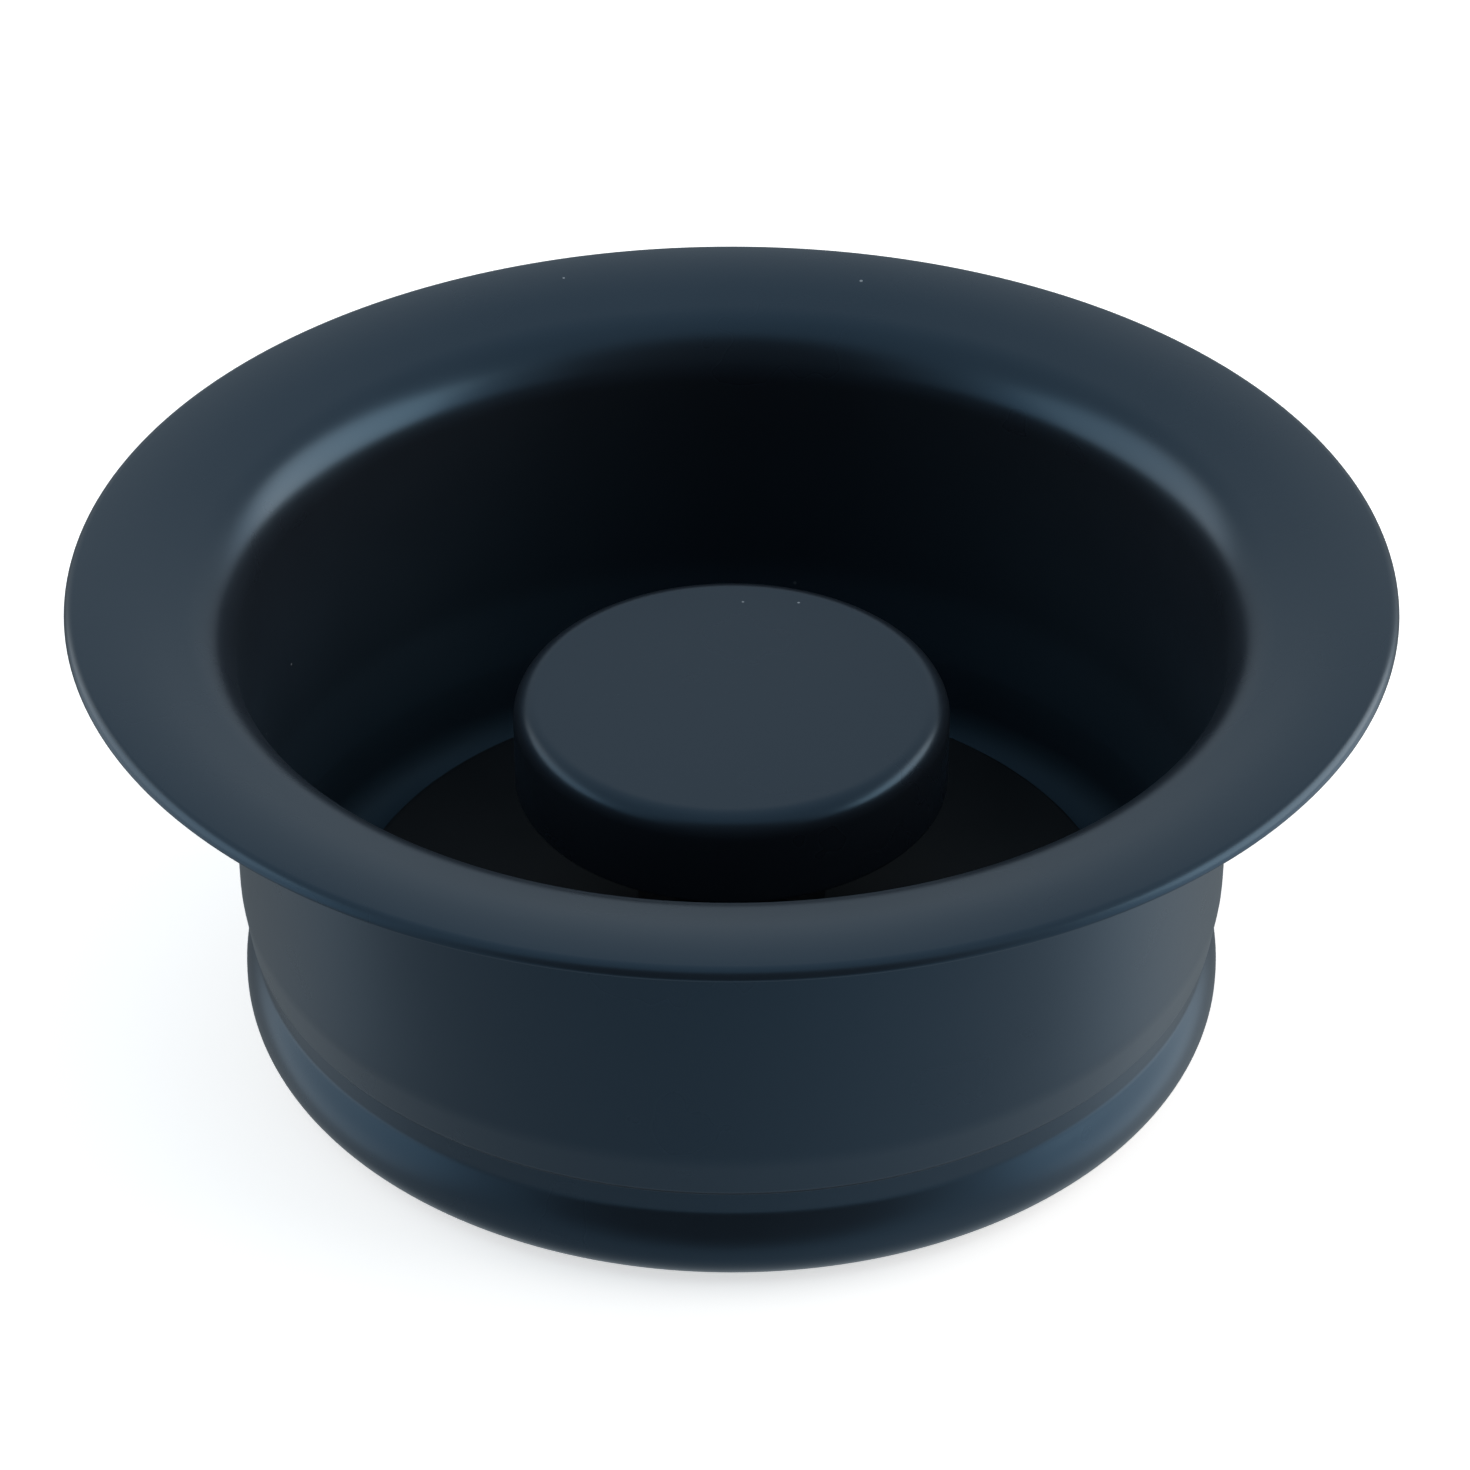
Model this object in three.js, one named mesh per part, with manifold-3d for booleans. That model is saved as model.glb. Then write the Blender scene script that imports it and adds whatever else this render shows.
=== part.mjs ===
// Sink flange of a kitchen garbage disposal, with its lift-out stopper.
// Millimetres, +Z up. The origin is the middle of the bottom, where the part stands.
//
// The flange is one formed sheet: a dished rim that lies on the sink, a lip that turns down into a
// tube wall, a groove rolled into the wall for the ring that the disposal hangs on, a bead under the
// groove, and a flat seat round the drain hole. Inside, the wall stays smooth. The stopper is a disc
// with a rubber seal under it and a knob on a stem. One screw from below clamps it all together.

import * as THREE from "three";
import { mergeVertices } from "three/addons/utils/BufferGeometryUtils.js";
import Module from "manifold-3d";

const wasm = await Module();
wasm.setup();

// ---------------------------------------------------------------- driving dimensions

// Flange: main sizes
const flangeHeight = 44.45;      // 1 3/4 in, from the bottom of the seat to the top of the rim
const sheet = 1.0;               // thickness of the formed sheet
const wallDiameter = 87.9;       // outside of the tube wall, for a 3 1/2 in sink outlet
const rimReach = 13.2;           // how far the rim stands out past the wall: 4 1/2 in across in all
const rimLand = 2.6;             // flat ring under the rim's edge that presses on the sink
const rimLandBlend = 1.5;        // from that ring to the curve of the rim's underside
const rimCrown = 2.2;            // highest ring of the rim's top, in from the edge
const rimRollRadius = 20;        // wide roll over that ring
const rimDishRadius = 77;        // slow curve of the rim's top, down towards the lip
const lipRadius = 5.8;           // lip where the rim turns down into the well
const lipDrop = 1.2;             // crown of the lip's round below the rim's highest edge

// Flange: corners of the wall's outside, from the top down. A depth is measured in from the wall, a
// height up from the base, and a curve is the outside radius of the sheet's bend at that corner.
const leanHeight = 14.3;         // the wall starts to lean in
const leanCurve = 8;
const browHeight = 10.6;         // the lean steps in to the groove
const browDepth = 0.5;
const browCurve = 0.6;
const grooveDepth = 1.1;
const grooveTop = 10.1;          // upper end of the groove's straight bottom
const grooveTopCurve = 0.3;
const grooveFoot = 7.9;          // lower end, where the bead begins
const grooveFootCurve = 1.2;
const beadHeight = 5.8;          // the bead comes back to the wall's full width
const beadCurve = 6.5;
const footRise = 1.68;           // the wall turns under, towards the floor
const footCurve = 3.1;
const baseReach = 4.62;          // from the wall to the edge of the flat base
const seatReach = 8.95;          // from the inside of the wall to the edge of the drain hole

// Flange: corners of the wall's inside. It passes the groove and the bead in one low swell.
const swellTop = 16.4;           // the swell starts to stand in
const swellTopCurve = 14;
const swellHeight = 9.4;         // its crest, behind the groove
const swellDepth = 0.95;
const swellCurve = 16;
const heelHeight = 2.1;          // the wall meets the floor
const heelDepth = 0.75;
const heelCurve = 3.8;

// Stopper: seal, disc and the retainer that clamps them
const seatGap = 0.05;            // clearance between pieces that rest on each other
const runGap = 0.1;              // radial clearance between round pieces that turn or slip together
const sealOverlap = 2.6;         // seal beyond the drain hole
const sealThickness = 2.2;       // seal's lip, from the seat to the disc's skirt
const sealRelief = 0.25;         // seal's inner part above its lip
const sealRound = 0.5;           // edge of the seal's lip
const discOverlap = 1.0;         // disc beyond the drain hole
const discPlate = 2.5;
const channelDepth = 0.85;       // channel behind the disc's skirt, which the seal's bead fills
const discEdge = 0.25;           // broken edge round the disc's top
const skirtWidth = 2.5;          // ring under the disc's edge that presses on the seal
const guideClearance = 0.6;      // guide lugs inside the drain hole
const guideStand = 1.0;          // guide lugs beyond the retainer's ledge
const guideLugs = 4;
const guideSpread = 16;          // degrees that one lug covers
const ledgeWidth = 3.5;          // ledge under the seal
const ledgeThickness = 0.8;
const webThickness = 1.4;        // retainer's web under the disc
const retainerRing = 2.4;        // wall of the retainer's outer ring
const retainerRibs = 8;
const ribThickness = 1.3;
const ribLift = 0.5;             // ribs and boss above the bottom of the ledge

// Stopper: stem, knob and fastener
const stemDiameter = 10;
const stemHeight = 16.2;         // from the disc to the knob's core
const flareReach = 3.5;          // stem's foot beyond the stem, which spreads its load on the disc
const flareHeight = 2.4;
const flareFillet = 3;           // between that foot and the stem
const knobDiameter = 38.4;
const knobHeight = 8.5;
const knobEdge = 2.0;            // round of the knob's top edge
const capWall = 0.9;             // formed cap that covers the knob
const coreRecess = 0.6;          // core's underside above the cap's lower edge
const corePockets = 6;           // moulded pockets in the core's underside
const pocketRoof = 2.45;         // left over each pocket
const pocketRib = 1.6;           // rib left between two pockets
const coreRim = 2.0;             // wall of the core outside its pockets
const insertWall = 3.5;          // boss round the insert
const insertRoof = 0.85;         // left over the insert
const oRingSection = 1.8;
const oRingRadius = 5.3;         // middle of the ring's section
const oRingGroove = 2.2;         // width of its groove in the foot
const screwDiameter = 5;
const screwGap = 0.25;           // screw in the plain holes that it passes
const threadGap = 0.06;          // screw in the insert, its thread left out
const screwShort = 0.8;          // screw's end below the insert's end
const screwPoint = 0.3;          // bevel of the screw's end
const headDiameter = 9.5;
const headHeight = 1.4;
const crossWidth = 1.1;          // cross recess in the head
const crossLength = 5;
const crossDepth = 0.8;
const washerDiameter = 13;
const washerThickness = 0.5;
const washerPocket = 0.5;        // room round the washer inside the retainer's boss
const bossWall = 1.2;
const insertDiameter = 7.8;
const insertGroove = 0.4;        // groove round the insert that keys it in the core

// Facets round the axis, and steps along the rounds of a section
const wideFacets = 60;
const knobFacets = 48;
const smallFacets = 24;
const lipSteps = 5;
const roundSteps = 3;
const rollSteps = 1;
const bendStep = 24;             // most degrees that one step of a bend in the sheet covers
const ringSides = 8;

// Working values of the solids
const samePoint = 1e-6;          // two points closer than this are one
const cutPast = 1;               // how far a cut runs out past the face that it opens

// ---------------------------------------------------------------- sizes that follow

const wallRadius = wallDiameter / 2;
const wellRadius = wallRadius - sheet;
const rimRadius = wallRadius + rimReach;
const holeRadius = wellRadius - seatReach;

const sealRadius = holeRadius + sealOverlap;
const discRadius = holeRadius + discOverlap;
const guideRadius = holeRadius - guideClearance;
const ledgeRadius = guideRadius - guideStand;
const hubRadius = ledgeRadius - ledgeWidth;
const sealBore = hubRadius + runGap;
const skirtBore = discRadius - skirtWidth;

const sealHeight = sheet + seatGap;
const discHeight = sealHeight + sealThickness + seatGap;
const discDepth = channelDepth + discPlate;
const discTop = discHeight + discDepth;
const ledgeTop = sealHeight + sealRelief - seatGap;
const retainerHeight = ledgeTop - ledgeThickness;
const retainerTop = discTop - discPlate - seatGap;
const washerHeight = retainerTop - webThickness - seatGap - washerThickness;
const headTop = washerHeight - seatGap;
const stemFoot = discTop + seatGap;
const coreHeight = stemFoot + stemHeight + seatGap;
const knobBottom = coreHeight - coreRecess;
const coreThickness = knobHeight - coreRecess - capWall - seatGap;
const insertLength = coreThickness - insertRoof - 2 * seatGap;
const insertHeight = coreHeight + seatGap;
const screwTop = insertHeight + insertLength - screwShort;

const screwRadius = screwDiameter / 2;
const screwHole = screwRadius + screwGap;
const knobRadius = knobDiameter / 2;
const coreRadius = knobRadius - capWall - runGap;
const insertRadius = insertDiameter / 2;
const insertBore = insertRadius + runGap;

// ---------------------------------------------------------------- materials

function coatedSteel() {
  return new THREE.MeshStandardMaterial({ color: 0x2a3037, roughness: 0.5, metalness: 0.25 });
}

function blackPlastic() {
  return new THREE.MeshStandardMaterial({ color: 0x131619, roughness: 0.55, metalness: 0 });
}

function sealRubber() {
  return new THREE.MeshStandardMaterial({ color: 0x191a1c, roughness: 0.85, metalness: 0 });
}

function stainlessSteel() {
  return new THREE.MeshStandardMaterial({ color: 0xb9bcbf, roughness: 0.3, metalness: 1 });
}

function brass() {
  return new THREE.MeshStandardMaterial({ color: 0xb08d4a, roughness: 0.35, metalness: 1 });
}

// ---------------------------------------------------------------- sections and solids

// Points of a section, [radius, height], along an arc from one angle to another in degrees.
function arc(centre, radius, fromDegrees, toDegrees, steps) {
  const points = [];
  for (let i = 0; i <= steps; i += 1) {
    const degrees = fromDegrees + ((toDegrees - fromDegrees) * i) / steps;
    const angle = THREE.MathUtils.degToRad(degrees);
    points.push([centre[0] + radius * Math.cos(angle), centre[1] + radius * Math.sin(angle)]);
  }
  return points;
}

// The angle in degrees at which a centre sees a point.
function bearing(centre, point) {
  return THREE.MathUtils.radToDeg(Math.atan2(point[1] - centre[1], point[0] - centre[0]));
}

// The lower of the two points that lie at one distance from a and at another from b.
function lowerCrossing(a, distanceA, b, distanceB) {
  const between = Math.hypot(b[0] - a[0], b[1] - a[1]);
  const along = (distanceA ** 2 - distanceB ** 2 + between ** 2) / (2 * between);
  const aside = Math.sqrt(distanceA ** 2 - along ** 2);
  const unit = [(b[0] - a[0]) / between, (b[1] - a[1]) / between];
  const foot = [a[0] + along * unit[0], a[1] + along * unit[1]];
  const sideways = unit[0] > 0 ? -aside : aside;
  return [foot[0] - sideways * unit[1], foot[1] + sideways * unit[0]];
}

// Chains of corners, [radius, height, curve], in the order in which they are passed.
function sides(chain) {
  return chain.slice(1).map(([radius, height], i) => {
    return new THREE.Vector2(radius - chain[i][0], height - chain[i][1]);
  });
}

// The chain moved to the right-hand side of its way. Every bend keeps its centre.
function besides(chain, distance) {
  const ways = sides(chain).map((side) => side.normalize());
  return chain.map(([radius, height, curve], i) => {
    const before = ways[Math.max(i - 1, 0)];
    const after = ways[Math.min(i, ways.length - 1)];
    const share = distance / (1 + before.dot(after));
    return [
      radius + (before.y + after.y) * share,
      height - (before.x + after.x) * share,
      Math.max(curve + Math.sign(before.cross(after)) * distance, 0),
    ];
  });
}

// Points along the chain, with an arc at each corner. Arcs too long for the side between them shrink.
function bent(chain) {
  const ways = sides(chain);
  const turns = chain.map((corner, i) => {
    const inside = i > 0 && i < ways.length;
    return inside ? Math.atan2(ways[i - 1].cross(ways[i]), ways[i - 1].dot(ways[i])) : 0;
  });
  const reaches = chain.map((corner, i) => corner[2] * Math.tan(Math.abs(turns[i]) / 2));
  const fits = ways.map((way, i) => Math.min(1, way.length() / (reaches[i] + reaches[i + 1])));
  return chain.flatMap(([radius, height], i) => {
    if (reaches[i] === 0) {
      return [[radius, height]];
    }
    const reach = reaches[i] * Math.min(fits[i - 1], fits[i]);
    const bend = (Math.sign(turns[i]) * reach) / Math.tan(Math.abs(turns[i]) / 2);
    const way = ways[i - 1].clone().normalize();
    const start = [radius - reach * way.x, height - reach * way.y];
    const centre = [start[0] - bend * way.y, start[1] + bend * way.x];
    const from = bearing(centre, start);
    const turn = THREE.MathUtils.radToDeg(turns[i]);
    return arc(centre, Math.abs(bend), from, from + turn, Math.ceil(Math.abs(turn) / bendStep));
  });
}

// A closed section without repeated points, running so that its faces point out when it is turned.
function tidySection(section) {
  const points = section.filter((point, i) => {
    const last = section[(i + section.length - 1) % section.length];
    return Math.hypot(point[0] - last[0], point[1] - last[1]) > samePoint;
  });
  let area = 0;
  points.forEach((point, i) => {
    const next = points[(i + 1) % points.length];
    area += point[0] * next[1] - next[0] * point[1];
  });
  return area < 0 ? points.reverse() : points;
}

// A ring turned about the Z axis from a closed section that stays clear of the axis.
function turnedRing(section, facets) {
  const points = tidySection(section);
  points.push(points[0]);
  return turned(points, facets);
}

// A body turned about the Z axis from a section with two neighbouring points on the axis.
function turnedBody(section, facets) {
  const points = tidySection(section);
  const onAxis = (point) => point[0] < samePoint;
  while (!onAxis(points[0]) || !onAxis(points[points.length - 1])) {
    points.push(points.shift());
  }
  return turned(points, facets);
}

function turned(points, facets) {
  const outline = points.map(([radius, height]) => new THREE.Vector2(radius, height));
  const geometry = new THREE.LatheGeometry(outline, facets);
  geometry.rotateX(Math.PI / 2);
  return geometry;
}

// A block between two radii that covers an angle, centred on a direction, all in degrees.
function sectorBlock(inner, outer, direction, spread, bottom, height) {
  const from = THREE.MathUtils.degToRad(direction - spread / 2);
  const to = THREE.MathUtils.degToRad(direction + spread / 2);
  const shape = new THREE.Shape();
  shape.absarc(0, 0, outer, from, to, false);
  shape.absarc(0, 0, inner, to, from, true);
  shape.closePath();
  const options = { depth: height, bevelEnabled: false, curveSegments: roundSteps };
  const geometry = new THREE.ExtrudeGeometry(shape, options);
  geometry.translate(0, 0, bottom);
  return geometry;
}

function toSolid(geometry) {
  const bare = geometry.clone();
  bare.deleteAttribute("normal");
  bare.deleteAttribute("uv");
  const merged = mergeVertices(bare);
  const index = merged.index.array;
  const triangles = [];
  for (let i = 0; i < index.length; i += 3) {
    const corners = [index[i], index[i + 1], index[i + 2]];
    if (new Set(corners).size === 3) {
      triangles.push(...corners);
    }
  }
  return new wasm.Manifold(new wasm.Mesh({
    numProp: 3,
    vertProperties: merged.attributes.position.array,
    triVerts: Uint32Array.from(triangles),
  }));
}

function toGeometry(solid) {
  const mesh = solid.getMesh();
  const geometry = new THREE.BufferGeometry();
  geometry.setAttribute("position", new THREE.BufferAttribute(mesh.vertProperties, 3));
  geometry.setIndex(new THREE.BufferAttribute(mesh.triVerts, 1));
  geometry.computeVertexNormals();
  return geometry;
}

function piece(name, geometry, material, height = 0) {
  const mesh = new THREE.Mesh(geometry, material);
  mesh.name = name;
  mesh.position.z = height;
  return mesh;
}

// ---------------------------------------------------------------- flange

// The rim's top is a slow dish that runs into the roll near its edge and into the round of the lip.
function rimCurve() {
  const lipCentre = [wellRadius + lipRadius, flangeHeight - lipDrop - lipRadius];
  const rollCentre = [rimRadius - rimCrown, flangeHeight - rimRollRadius];
  const dishToRoll = rimDishRadius - rimRollRadius;
  const dishToLip = rimDishRadius - lipRadius;
  const dishCentre = lowerCrossing(rollCentre, dishToRoll, lipCentre, dishToLip);
  return {
    lipCentre,
    rollCentre,
    dishCentre,
    rollBearing: bearing(dishCentre, rollCentre),
    lipBearing: bearing(dishCentre, lipCentre),
  };
}

// The rim's edge is the round that leaves the roll smoothly and ends upright on the underside.
function rimTop() {
  const { lipCentre, rollCentre, dishCentre, rollBearing, lipBearing } = rimCurve();
  const underRoll = (rimRollRadius - sheet) ** 2;
  const edgeRound = ((rimRollRadius ** 2 - rimCrown ** 2 - underRoll) / (rimRollRadius - rimCrown)) / 2;
  const edgeReach = rimRollRadius - edgeRound;
  const edgeBearing = THREE.MathUtils.radToDeg(Math.acos((rimCrown - edgeRound) / edgeReach));
  const [edgeCentre] = arc(rollCentre, edgeReach, edgeBearing, edgeBearing, 1);
  return [
    ...arc(lipCentre, lipRadius, 180, lipBearing, lipSteps),
    ...arc(dishCentre, rimDishRadius, lipBearing, rollBearing, roundSteps),
    ...arc(rollCentre, rimRollRadius, rollBearing, edgeBearing, rollSteps),
    ...arc(edgeCentre, edgeRound, edgeBearing, 0, roundSteps),
  ];
}

function rimUnderside() {
  const { lipCentre, dishCentre, lipBearing } = rimCurve();
  const under = rimDishRadius - sheet;
  const blendRadius = rimRadius - rimLand - rimLandBlend;
  const blendBearing = THREE.MathUtils.radToDeg(Math.acos((blendRadius - dishCentre[0]) / under));
  return [
    [rimRadius, flangeHeight - sheet],
    [rimRadius - rimLand, flangeHeight - sheet],
    ...arc(dishCentre, under, blendBearing, lipBearing, roundSteps),
    ...arc(lipCentre, lipRadius - sheet, lipBearing, 180, lipSteps),
  ];
}

// Corners of the outside, from the lip down the wall and in along the base to the drain hole.
function wallOutside() {
  return [
    [wallRadius, flangeHeight - lipDrop - lipRadius, 0],
    [wallRadius, leanHeight, leanCurve],
    [wallRadius - browDepth, browHeight, browCurve],
    [wallRadius - grooveDepth, grooveTop, grooveTopCurve],
    [wallRadius - grooveDepth, grooveFoot, grooveFootCurve],
    [wallRadius, beadHeight, beadCurve],
    [wallRadius, footRise, footCurve],
    [wallRadius - baseReach, 0, 0],
    [holeRadius + sheet / 2, 0, 0],
  ];
}

// Corners of the inside, in the same order. The floor keeps one sheet's thickness from the base.
function wallInside() {
  return [
    [wellRadius, flangeHeight - lipDrop - lipRadius, 0],
    [wellRadius, swellTop, swellTopCurve],
    [wellRadius - swellDepth, swellHeight, swellCurve],
    [wellRadius - heelDepth, heelHeight, heelCurve],
    ...besides(wallOutside(), sheet).slice(-2),
  ];
}

// The drain hole's edge is a full round of half the sheet.
function holeEdge() {
  return arc([holeRadius + sheet / 2, sheet / 2], sheet / 2, 270, 90, roundSteps);
}

function sinkFlange() {
  const section = [
    ...rimUnderside(),
    ...bent(wallOutside()),
    ...holeEdge(),
    ...bent(wallInside()).reverse(),
    ...rimTop(),
  ];
  return piece("sink_flange", turnedRing(section, wideFacets), coatedSteel());
}

// ---------------------------------------------------------------- stopper: what closes the hole

// Rubber ring: its lip lies on the seat, and its bead fills the channel between disc and retainer.
function sealRing() {
  const lipOuter = sealRadius - sealRound;
  const beadOuter = skirtBore - runGap;
  const section = [
    [sealBore, sealRelief],
    [guideRadius + runGap, sealRelief],
    [holeRadius + sealRelief, 0],
    ...arc([lipOuter, sealRound], sealRound, -90, 0, roundSteps),
    [discRadius, sealThickness],
    [beadOuter, sealThickness],
    [beadOuter, sealThickness + channelDepth],
    [sealBore, sealThickness + channelDepth],
  ];
  return piece("seal_ring", turnedRing(section, wideFacets), sealRubber(), sealHeight);
}

// Disc with a skirt under its edge that presses on the seal.
function stopperDisc() {
  const section = [
    [screwHole, discDepth],
    [discRadius - discEdge, discDepth],
    [discRadius, discDepth - discEdge],
    [discRadius, 0],
    [skirtBore, 0],
    [skirtBore, channelDepth],
    [screwHole, channelDepth],
  ];
  return piece("stopper_disc", turnedRing(section, wideFacets), blackPlastic(), discHeight);
}

// Moulded retainer: a hub inside the seal, a ledge under it, and a ribbed underside.
function retainerShell() {
  const top = retainerTop - retainerHeight;
  const web = top - webThickness;
  const bossInner = washerDiameter / 2 + washerPocket;
  const section = [
    [screwHole, top],
    [hubRadius, top],
    [hubRadius, ledgeThickness],
    [ledgeRadius, ledgeThickness],
    [ledgeRadius, 0],
    [hubRadius - retainerRing, 0],
    [hubRadius - retainerRing, web],
    [bossInner + bossWall, web],
    [bossInner + bossWall, ribLift],
    [bossInner, ribLift],
    [bossInner, web],
    [screwHole, web],
  ];
  return toSolid(turnedRing(section, wideFacets));
}

function retainerRib(index) {
  const web = retainerTop - retainerHeight - webThickness;
  const inner = washerDiameter / 2 + washerPocket + bossWall / 2;
  const outer = hubRadius - retainerRing / 2;
  const height = web + webThickness / 2 - ribLift;
  const rib = new THREE.BoxGeometry(outer - inner, ribThickness, height);
  rib.translate((outer + inner) / 2, 0, ribLift + height / 2);
  rib.rotateZ((2 * Math.PI * (index + 0.5)) / retainerRibs);
  return toSolid(rib);
}

function guideLug(index) {
  const direction = (360 * index) / guideLugs;
  return toSolid(sectorBlock(hubRadius, guideRadius, direction, guideSpread, 0, ledgeThickness));
}

function sealRetainer() {
  let body = retainerShell();
  for (let i = 0; i < retainerRibs; i += 1) {
    body = body.add(retainerRib(i));
  }
  for (let i = 0; i < guideLugs; i += 1) {
    body = body.add(guideLug(i));
  }
  return piece("seal_retainer", toGeometry(body), blackPlastic(), retainerHeight);
}

// ---------------------------------------------------------------- stopper: stem and knob

// Sleeve that carries the knob, with a groove in its foot for the ring that keeps water out.
function stemSleeve() {
  const stemRadius = stemDiameter / 2;
  const flareRadius = stemRadius + flareReach;
  const fillet = Math.min(flareFillet, flareReach);
  const filletCentre = [stemRadius + fillet, flareHeight + fillet];
  const grooveOuter = oRingRadius + oRingGroove / 2;
  const grooveInner = oRingRadius - oRingGroove / 2;
  const grooveTop = oRingSection + seatGap;
  const section = [
    [screwHole, 0],
    [grooveInner, 0],
    [grooveInner, grooveTop],
    [grooveOuter, grooveTop],
    [grooveOuter, 0],
    [flareRadius, 0],
    [flareRadius, flareHeight],
    ...arc(filletCentre, fillet, 270, 180, roundSteps),
    [stemRadius, stemHeight],
    [screwHole, stemHeight],
  ];
  return piece("stem_sleeve", turnedRing(section, smallFacets), blackPlastic(), stemFoot);
}

function stemORing() {
  const radius = oRingSection / 2;
  const section = arc([oRingRadius, radius], radius, 0, 360, ringSides);
  return piece("stem_o_ring", turnedRing(section, smallFacets), sealRubber(), stemFoot);
}

// Moulded core of the knob: a puck with a blind hole for the insert and pockets round it.
function coreShell() {
  const boreTop = coreThickness - insertRoof;
  const edge = knobEdge - capWall;
  const section = [
    [0, coreThickness],
    ...arc([coreRadius - edge, coreThickness - edge], edge, 90, 0, roundSteps),
    [coreRadius, 0],
    [insertBore, 0],
    [insertBore, boreTop],
    [0, boreTop],
  ];
  return toSolid(turnedBody(section, knobFacets));
}

function corePocket(index) {
  const pitch = 360 / corePockets;
  const outer = coreRadius - coreRim;
  const inner = insertBore + insertWall;
  const spread = pitch - THREE.MathUtils.radToDeg(pocketRib / inner);
  const height = coreThickness - pocketRoof + cutPast;
  return toSolid(sectorBlock(inner, outer, pitch * index, spread, -cutPast, height));
}

function knobCore() {
  let body = coreShell();
  for (let i = 0; i < corePockets; i += 1) {
    body = body.subtract(corePocket(i));
  }
  return piece("knob_core", toGeometry(body), blackPlastic(), coreHeight);
}

// Formed cap over the core, coated like the flange.
function knobCap() {
  const section = [
    [0, knobHeight],
    ...arc([knobRadius - knobEdge, knobHeight - knobEdge], knobEdge, 90, 0, lipSteps),
    [knobRadius, 0],
    [knobRadius - capWall, 0],
    ...arc([knobRadius - knobEdge, knobHeight - knobEdge], knobEdge - capWall, 0, 90, roundSteps),
    [0, knobHeight - capWall],
  ];
  return piece("knob_cap", turnedBody(section, knobFacets), coatedSteel(), knobBottom);
}

// ---------------------------------------------------------------- stopper: fastener

function threadedInsert() {
  const bore = screwRadius + threadGap;
  const waist = insertRadius - insertGroove;
  const third = insertLength / 3;
  const section = [
    [bore, 0],
    [insertRadius, 0],
    [insertRadius, third],
    [waist, third + insertGroove],
    [waist, 2 * third - insertGroove],
    [insertRadius, 2 * third],
    [insertRadius, insertLength],
    [bore, insertLength],
  ];
  return piece("threaded_insert", turnedRing(section, smallFacets), brass(), insertHeight);
}

function clampWasher() {
  const section = [
    [screwHole, 0],
    [washerDiameter / 2, 0],
    [washerDiameter / 2, washerThickness],
    [screwHole, washerThickness],
  ];
  return piece("clamp_washer", turnedRing(section, smallFacets), stainlessSteel(), washerHeight);
}

// Low-headed screw, head down, with a cross recess. Its thread is left plain.
function clampScrew() {
  const headRadius = headDiameter / 2;
  const dome = (headRadius ** 2 + headHeight ** 2) / (2 * headHeight);
  const turn = THREE.MathUtils.radToDeg(Math.asin(headRadius / dome));
  const shankTop = screwTop - headTop + headHeight;
  const section = [
    ...arc([0, dome], dome, -90, turn - 90, roundSteps),
    [screwRadius, headHeight],
    [screwRadius, shankTop - screwPoint],
    [screwRadius - screwPoint, shankTop],
    [0, shankTop],
  ];
  let body = toSolid(turnedBody(section, smallFacets));
  for (const turnBy of [0, Math.PI / 2]) {
    const slot = new THREE.BoxGeometry(crossLength, crossWidth, 2 * crossDepth);
    slot.rotateZ(turnBy);
    body = body.subtract(toSolid(slot));
  }
  return piece("clamp_screw", toGeometry(body), stainlessSteel(), headTop - headHeight);
}

// ---------------------------------------------------------------- assembly

function stopper() {
  const group = new THREE.Group();
  group.add(sealRing(), stopperDisc(), sealRetainer());
  group.add(stemSleeve(), stemORing(), knobCore(), knobCap());
  group.add(threadedInsert(), clampWasher(), clampScrew());
  return group;
}

const disposalFlange = new THREE.Group();
disposalFlange.add(sinkFlange(), stopper());

export default disposalFlange;
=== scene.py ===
# %% [markdown]
# # A disposal's sink flange and its stopper
#
# The part is the black flange that a kitchen garbage disposal hangs from, standing on its bottom
# with its stopper in the well. The flange is one formed sheet with a satin powder coat. The stopper
# is a disc with a rubber seal under it and a coated knob on a stem, clamped by one screw.
#
# Nearly every piece is round, so nearly every piece is made the way a lathe makes it: a section is
# drawn once and spun about the Z axis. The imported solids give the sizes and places, and this script
# gives each of them its fine surface.

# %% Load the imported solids
import math

import bmesh
import bpy
from mathutils import Matrix, Vector


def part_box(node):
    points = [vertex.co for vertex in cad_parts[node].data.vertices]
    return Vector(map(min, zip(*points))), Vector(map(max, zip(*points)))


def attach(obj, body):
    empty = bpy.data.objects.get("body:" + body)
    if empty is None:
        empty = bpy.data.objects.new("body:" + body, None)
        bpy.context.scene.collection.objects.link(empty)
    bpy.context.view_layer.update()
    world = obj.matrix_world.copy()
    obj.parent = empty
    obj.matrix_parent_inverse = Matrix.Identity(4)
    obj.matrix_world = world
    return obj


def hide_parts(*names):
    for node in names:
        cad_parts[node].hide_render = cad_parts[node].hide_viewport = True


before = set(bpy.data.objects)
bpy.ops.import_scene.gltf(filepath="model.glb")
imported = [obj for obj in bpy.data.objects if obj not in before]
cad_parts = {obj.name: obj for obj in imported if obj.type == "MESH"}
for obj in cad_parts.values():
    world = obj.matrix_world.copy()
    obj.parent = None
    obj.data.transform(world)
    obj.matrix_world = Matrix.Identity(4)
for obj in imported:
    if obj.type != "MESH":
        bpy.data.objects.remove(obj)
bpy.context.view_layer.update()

scene = bpy.context.scene
mm = 0.001
print("pieces of the frame:", sorted(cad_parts))

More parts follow.
